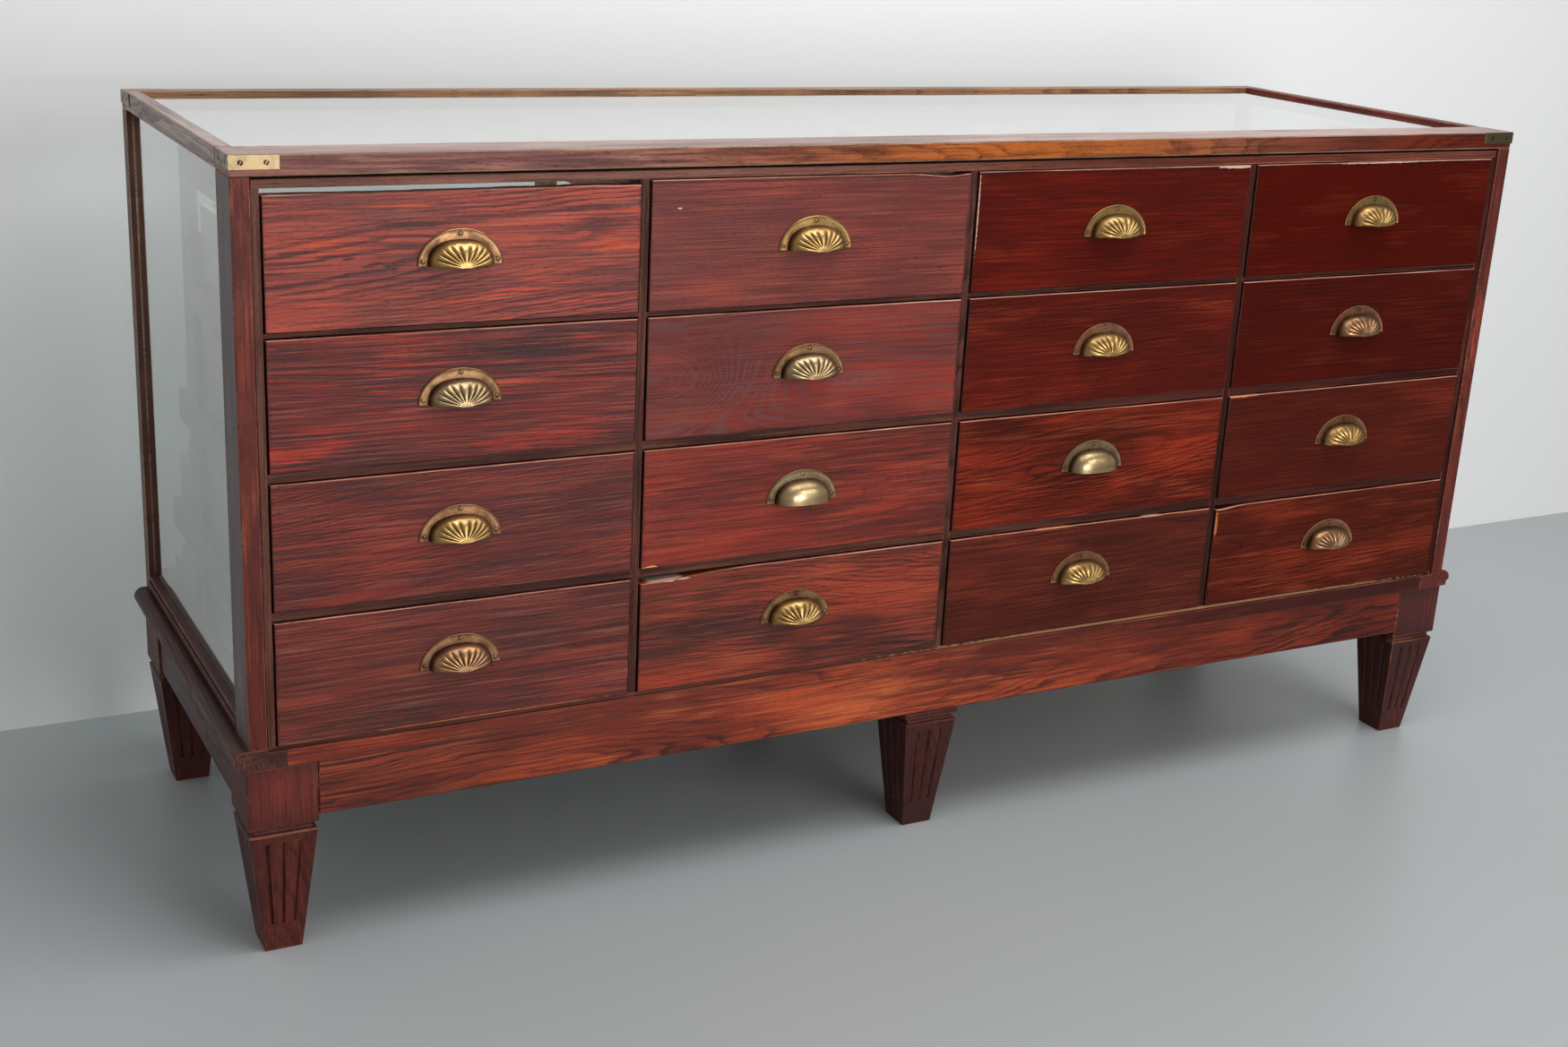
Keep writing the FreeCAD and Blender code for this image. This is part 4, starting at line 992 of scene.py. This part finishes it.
def makeDome(name, ribbed):
    s = pullSettings
    dome = addSheet(name, s["aroundCells"], s["outCells"])

    def onDome(flat):
        # for a point of the sheet: angle round the mouth, share of the way to the plate, and groove
        angle = math.pi * (1.0 - flat.x) / 2.0
        share = s["tip"] + (1.0 - s["tip"]) * math.sin(math.pi / 4.0 * (1.0 + flat.y))
        return angle, share, ribGroove(angle, share) if ribbed else 0.0

    def dirtAt(flat):
        angle, share, groove = onDome(flat)
        shoulder = clamp((share - s["shoulder"]) / s["shoulderFade"]) * s["shoulderDirt"]
        return min(1.0, groove * s["ribDirt"] + shoulder + max(0.0, share - 0.95) * s["footDirt"])

    markHollows(dome, dirtAt)
    for corner in dome.data.vertices:
        angle, share, groove = onDome(corner.co)
        corner.co = domePoint(angle, share, s["ribDepth"] * groove * min(1.0, share / s["ribFull"]))
    editWhole(dome)
    bpy.ops.mesh.remove_doubles(threshold=0.00001)
    bpy.ops.mesh.normals_make_consistent(inside=False)
    bpy.ops.object.mode_set(mode="OBJECT")
    if sum(face.normal.y for face in dome.data.polygons) > 0.0:
        editWhole(dome)
        bpy.ops.mesh.flip_normals()
        bpy.ops.object.mode_set(mode="OBJECT")
    wall = dome.modifiers.new("wall", "SOLIDIFY")
    wall.thickness = s["wall"]
    wall.offset = -1.0
    applyModifiers(dome)
    smoothBelow(50.0)
    return dome


def makeFlange(name):
    # one strip of faces between the dome's foot and the outer rim, thickened and beaded
    s, dirt = pullSettings, flangeDirt
    steps = s["flangeSteps"]
    flange = addSheet(name, s["flangeCells"], len(steps) - 1)
    for corner in flange.data.vertices:
        angle = math.pi * (1.0 - corner.co.x) / 2.0
        share, depth = steps[round((corner.co.y + 1.0) * (len(steps) - 1) / 2.0)]
        across, up = fullOutline(angle)
        foot = Vector(((s["domeWidth"] / 2.0 - s["wall"]) * across, 0.0, (s["domeHeight"] - s["wall"]) * up))
        rim = Vector((s["width"] / 2.0 * math.cos(angle), 0.0, s["height"] * math.sin(angle)))
        corner.co = foot.lerp(rim, share) + Vector((0.0, -s["plate"] + depth, 0.0))

    def dirtAt(place):
        power = s["fullness"]
        reach = abs(place.x / (s["domeWidth"] / 2.0)) ** power + abs(place.z / s["domeHeight"]) ** power
        foot = 1.0 - abs(reach ** (1.0 / power) - dirt["footPlace"]) * dirt["footFade"]
        nearScrew = min(math.hypot(place.x - x, place.z - z) for x, z in s["screwPlaces"])
        inRim = math.hypot(place.x / (s["width"] / 2.0), place.z / s["height"]) < dirt["rimStart"]
        return min(1.0, max(foot * dirt["foot"], (1.0 - nearScrew / dirt["screwReach"]) * dirt["screw"],
                            dirt["dish"] if inRim else dirt["rim"]))

    markHollows(flange, dirtAt)
    editWhole(flange)
    bpy.ops.mesh.extrude_region_move(TRANSFORM_OT_translate={"value": (0.0, s["plate"], 0.0)})
    bpy.ops.object.mode_set(mode="OBJECT")
    for corner in flange.data.vertices:
        if corner.select:
            corner.co.y = 0.0
    editWhole(flange)
    bpy.ops.mesh.normals_make_consistent(inside=False)
    endEdit()
    smoothBelow(40.0)
    return flange


def makeLip(name):
    # rolled lip along the mouth of a plain pull
    s = pullSettings
    thick, height = s["lipThick"], s["lipHeight"]
    lip = addSheet(name, *s["lipCells"])
    for corner in lip.data.vertices:
        angle = math.pi * (1.0 + corner.co.x) / 2.0
        roll = math.pi * corner.co.y
        across, out = fullOutline(angle)
        middle = Vector(((s["domeWidth"] / 2.0 - thick) * across,
                         -s["plate"] - (s["reach"] - thick) * out, height))
        away = Vector((math.cos(angle), -math.sin(angle), 0.0))
        corner.co = middle + away * thick * math.cos(roll) + Vector((0.0, 0.0, height * math.sin(roll)))
    editWhole(lip)
    bpy.ops.mesh.remove_doubles(threshold=0.00001)
    bpy.ops.mesh.fill_holes(sides=0)
    bpy.ops.mesh.normals_make_consistent(inside=False)
    endEdit()
    smoothBelow(60.0)
    return lip


screwShape = {"sides": 24, "rim": 0.14, "crown": 0.35, "slotFloor": 0.45, "smooth": 25.0,
              "dirtOnTop": 0.4, "topFrom": 0.9, "topWidth": 0.42}


def makeScrew(settings, turn):
    # domed head with a slot filed across it, its back at y = 0
    size, height, slot = settings["screwSize"], settings["screwHeight"], settings["screwSlot"]
    s = screwShape
    deselectAll()
    bpy.ops.mesh.primitive_cylinder_add(vertices=s["sides"], radius=size / 2.0, depth=height,
                                        location=(0.0, -height / 2.0, 0.0),
                                        rotation=(math.radians(90.0), 0.0, 0.0))
    head = bpy.context.object
    head.name = "screw"
    bpy.ops.object.transform_apply(location=True, rotation=True, scale=True)
    startEdit(head, "FACE", lambda centre, normal: normal.y < -0.9)
    bpy.ops.mesh.inset(thickness=size * s["rim"])
    bpy.ops.transform.translate(value=(0.0, -height * s["crown"], 0.0))
    endEdit()
    cutter = addBoard("slotCutter", (-size, -height * 3.0, -slot / 2.0),
                      (size, -height * s["slotFloor"], slot / 2.0))
    cutter.data.transform(Matrix.Rotation(turn, 4, "Y"))
    cut = head.modifiers.new("slot", "BOOLEAN")
    cut.operation = "DIFFERENCE"
    cut.solver = "EXACT"
    cut.object = cutter
    applyModifiers(head)
    bpy.data.objects.remove(cutter)
    smoothBelow(s["smooth"])

    def dirtAt(place):
        onTop = place.y < -height * s["topFrom"] and place.xz.length < size * s["topWidth"]
        return s["dirtOnTop"] if onTop else 1.0

    markHollows(head, dirtAt)
    return head


def makePull(name, ribbed):
    # two finishes: the flange and its screws first, then the dome
    s = pullSettings
    flangeParts = [makeFlange(name)]
    domeParts = [makeDome("dome", ribbed)]
    if not ribbed:
        domeParts.append(makeLip("lip"))
    for place, turn in zip(s["screwPlaces"], s["screwTurns"]):
        screw = makeScrew(s, turn)
        screw.data.transform(Matrix.Translation((place[0], -s["plate"] + s["screwSink"], place[1])))
        flangeParts.append(screw)
    for parts, blank in ((flangeParts, flangeBlank), (domeParts, domeBlank)):
        for part in parts:
            part.data.materials.append(blank)
    return joinPieces(flangeParts + domeParts, name)


# blanks hold the places of the two finishes until each pull gets its own
flangeBlank = bpy.data.materials.new("flangeBlank")
domeBlank = bpy.data.materials.new("domeBlank")
shellPull = makePull("shellPull", True)
plainPull = makePull("plainPull", False)
for row, column, tag in drawers:
    low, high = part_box("cup_pull_" + tag)
    source = plainPull if tag in pullSettings["plain"] else shellPull
    place = ((low.x + high.x) / 2.0, high.y, low.z + pullSettings["rises"][row - 1])
    pull = copyPiece(source, "cupPull_" + tag, place)
    flangeLook, domeLook, dullness = pullLooks[tag]
    for slot, (label, look) in enumerate((("flangeBrass_", flangeLook), ("domeBrass_", domeLook))):
        pull.data.materials[slot] = makeMetal(label + tag, look, dullness, 7.0 * row + column)
    settle(pull, "cup_pull_" + tag)
for source in (shellPull, plainPull):
    bpy.data.objects.remove(source)
for blank in (flangeBlank, domeBlank):
    bpy.data.materials.remove(blank)
print("pulls ready")

bracketSettings = {
    "thin": 0.0003,               # how much thinner than the node, so that the screws stay within its box
    "arris": 0.0004, "rubbed": 0.004,
    "screwSize": 0.0068, "screwHeight": 0.0009, "screwSlot": 0.0009,
    "screwDrop": 0.0085, "screwPlaces": (0.014, 0.042),
    "screwSeat": 0.0012887,       # from the side of the node's box to the back of a screw
    "screwSeed": 5,               # all the slots were left at the same turn
}


def makeBrackets():
    s = bracketSettings
    brackets = copyOfNode("corner_brackets", "cornerBrackets")
    low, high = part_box("corner_brackets")
    for corner in brackets.data.vertices:
        for axis in (0, 1):
            if corner.co[axis] - low[axis] < 0.0001:
                corner.co[axis] += s["thin"]
            if high[axis] - corner.co[axis] < 0.0001:
                corner.co[axis] -= s["thin"]
    screwBrass = makeMetal("bracketScrews", darkBrass, 1.0, 122.0)
    brackets.data.materials.append(makeMetal("bracketBrass", paleBrass, 0.25, 120.0))
    brackets.data.materials.append(makeMetal("bracketDarkBrass", darkBrass, 0.8, 121.0))
    brackets.data.materials.append(screwBrass)
    for face in brackets.data.polygons:
        # faces more than a few millimetres behind the front take the dark brass, and the front faces keep the
        # pale brass
        if face.center.y > low.y + s["rubbed"]:
            face.material_index = 1
    softenEdges(brackets, s["arris"], -1)
    parts = [brackets]
    turn = random.Random(s["screwSeed"]).uniform(0.0, math.pi)
    for sideY, backward in ((low.y, 1.0), (high.y, -1.0)):
        for sideX, inward in ((low.x, 1.0), (high.x, -1.0)):
            for reach in s["screwPlaces"]:
                for onEnd in (False, True):
                    screw = makeScrew(s, turn)
                    across, along = (s["screwSeat"], reach) if onEnd else (reach, s["screwSeat"])
                    if onEnd:
                        screw.data.transform(Matrix.Rotation(-math.pi / 2.0 * inward, 4, "Z"))
                    elif backward < 0.0:
                        screw.data.transform(Matrix.Rotation(math.pi, 4, "Z"))
                    place = (sideX + inward * across, sideY + backward * along, high.z - s["screwDrop"])
                    screw.data.transform(Matrix.Translation(place))
                    screw.data.materials.append(screwBrass)
                    parts.append(screw)
    settle(joinPieces(parts, "cornerBrackets"), "corner_brackets")


makeBrackets()
print("brackets ready")

cameraSettings = {
    "place": (-1.43598, -2.46085, 1.29260),
    "turn": -0.499, "tip": -0.315, "roll": -0.053,
    "lens": 46.0, "sensor": 36.0, "near": 0.05, "far": 100.0,
}
stageSettings = {
    "floor": (163, 167, 168), "floorSize": 40.0, "floorRoughness": 0.38,
    "wall": (230, 230, 230), "wallSize": (40.0, 8.0), "wallPlace": 0.515, "wallRoughness": 0.7,
}
# place, what it shines at, size and watts
lampSettings = {
    "overheadLamp": ((0.4, -1.0, 3.1), (0.1, 0.1, 0.4), (2.4, 1.6), 55.0),
    "rightFrontLamp": ((1.7, -3.9, 2.3), (0.0, 0.0, 0.4), (2.0, 1.4), 31.0),
    "lowFrontLamp": ((0.35, -3.7, 0.75), (-0.4, 0.0, 0.3), (1.3, 0.9), 36.0),
}
roomLight = 0.54


def addToScene(name, data):
    thing = bpy.data.objects.new(name, data)
    bpy.context.scene.collection.objects.link(thing)
    return thing


def makeCamera():
    s = cameraSettings
    data = bpy.data.cameras.new("camera")
    data.lens = s["lens"]
    data.sensor_width = s["sensor"]
    data.clip_start = s["near"]
    data.clip_end = s["far"]
    camera = addToScene("camera", data)
    look = Matrix.Rotation(s["turn"], 3, "Z") @ Matrix.Rotation(s["tip"], 3, "X")
    look = look @ Matrix.Rotation(s["roll"], 3, "Y")
    right, forward, up = look.col[0], look.col[1], look.col[2]
    turned = Matrix((right, up, -forward)).transposed().to_4x4()
    camera.matrix_world = Matrix.Translation(s["place"]) @ turned
    bpy.context.scene.camera = camera


def stageMaterial(name, onlyFromFront):
    # a plain painted surface, which from behind lets the camera look through
    material, tree, paint = newMaterial(name + "Paint")
    paint.inputs["Base Color"].default_value = linear(stageSettings[name])
    paint.inputs["Roughness"].default_value = stageSettings[name + "Roughness"]
    if onlyFromFront:
        white = (1.0, 1.0, 1.0, 1.0)
        seeThrough(tree, addNode(tree, "NewGeometry").outputs["Backfacing"], paint, white)
    return material


def makeStage():
    s = stageSettings
    deselectAll()
    bpy.ops.mesh.primitive_plane_add(size=s["floorSize"], location=(0.0, 0.0, 0.0))
    floor = bpy.context.object
    floor.name = "floor"
    floor.data.materials.append(stageMaterial("floor", False))
    length, height = s["wallSize"]
    bpy.ops.mesh.primitive_plane_add(size=1.0, location=(0.0, s["wallPlace"], height / 2.0),
                                     rotation=(math.radians(90.0), 0.0, 0.0))
    wall = bpy.context.object
    wall.name = "wall"
    wall.scale = (length, height, 1.0)
    wall.data.materials.append(stageMaterial("wall", True))


def makeLamp(name, place, target, size, power):
    data = bpy.data.lights.new(name, "AREA")
    data.shape = "RECTANGLE"
    data.size, data.size_y = size
    data.energy = power
    lamp = addToScene(name, data)
    lamp.location = place
    lamp.rotation_mode = "QUATERNION"
    lamp.rotation_quaternion = (Vector(target) - Vector(place)).to_track_quat("-Z", "Y")


makeCamera()
makeStage()
for name, details in lampSettings.items():
    makeLamp(name, *details)
bpy.context.scene.view_settings.view_transform = "Standard"
world = bpy.data.worlds.new("room")
bpy.context.scene.world = world
world.use_nodes = True
background = world.node_tree.nodes["Background"]
background.inputs["Color"].default_value = (1.0, 1.0, 1.0, 1.0)
background.inputs["Strength"].default_value = roomLight
print("stage ready")
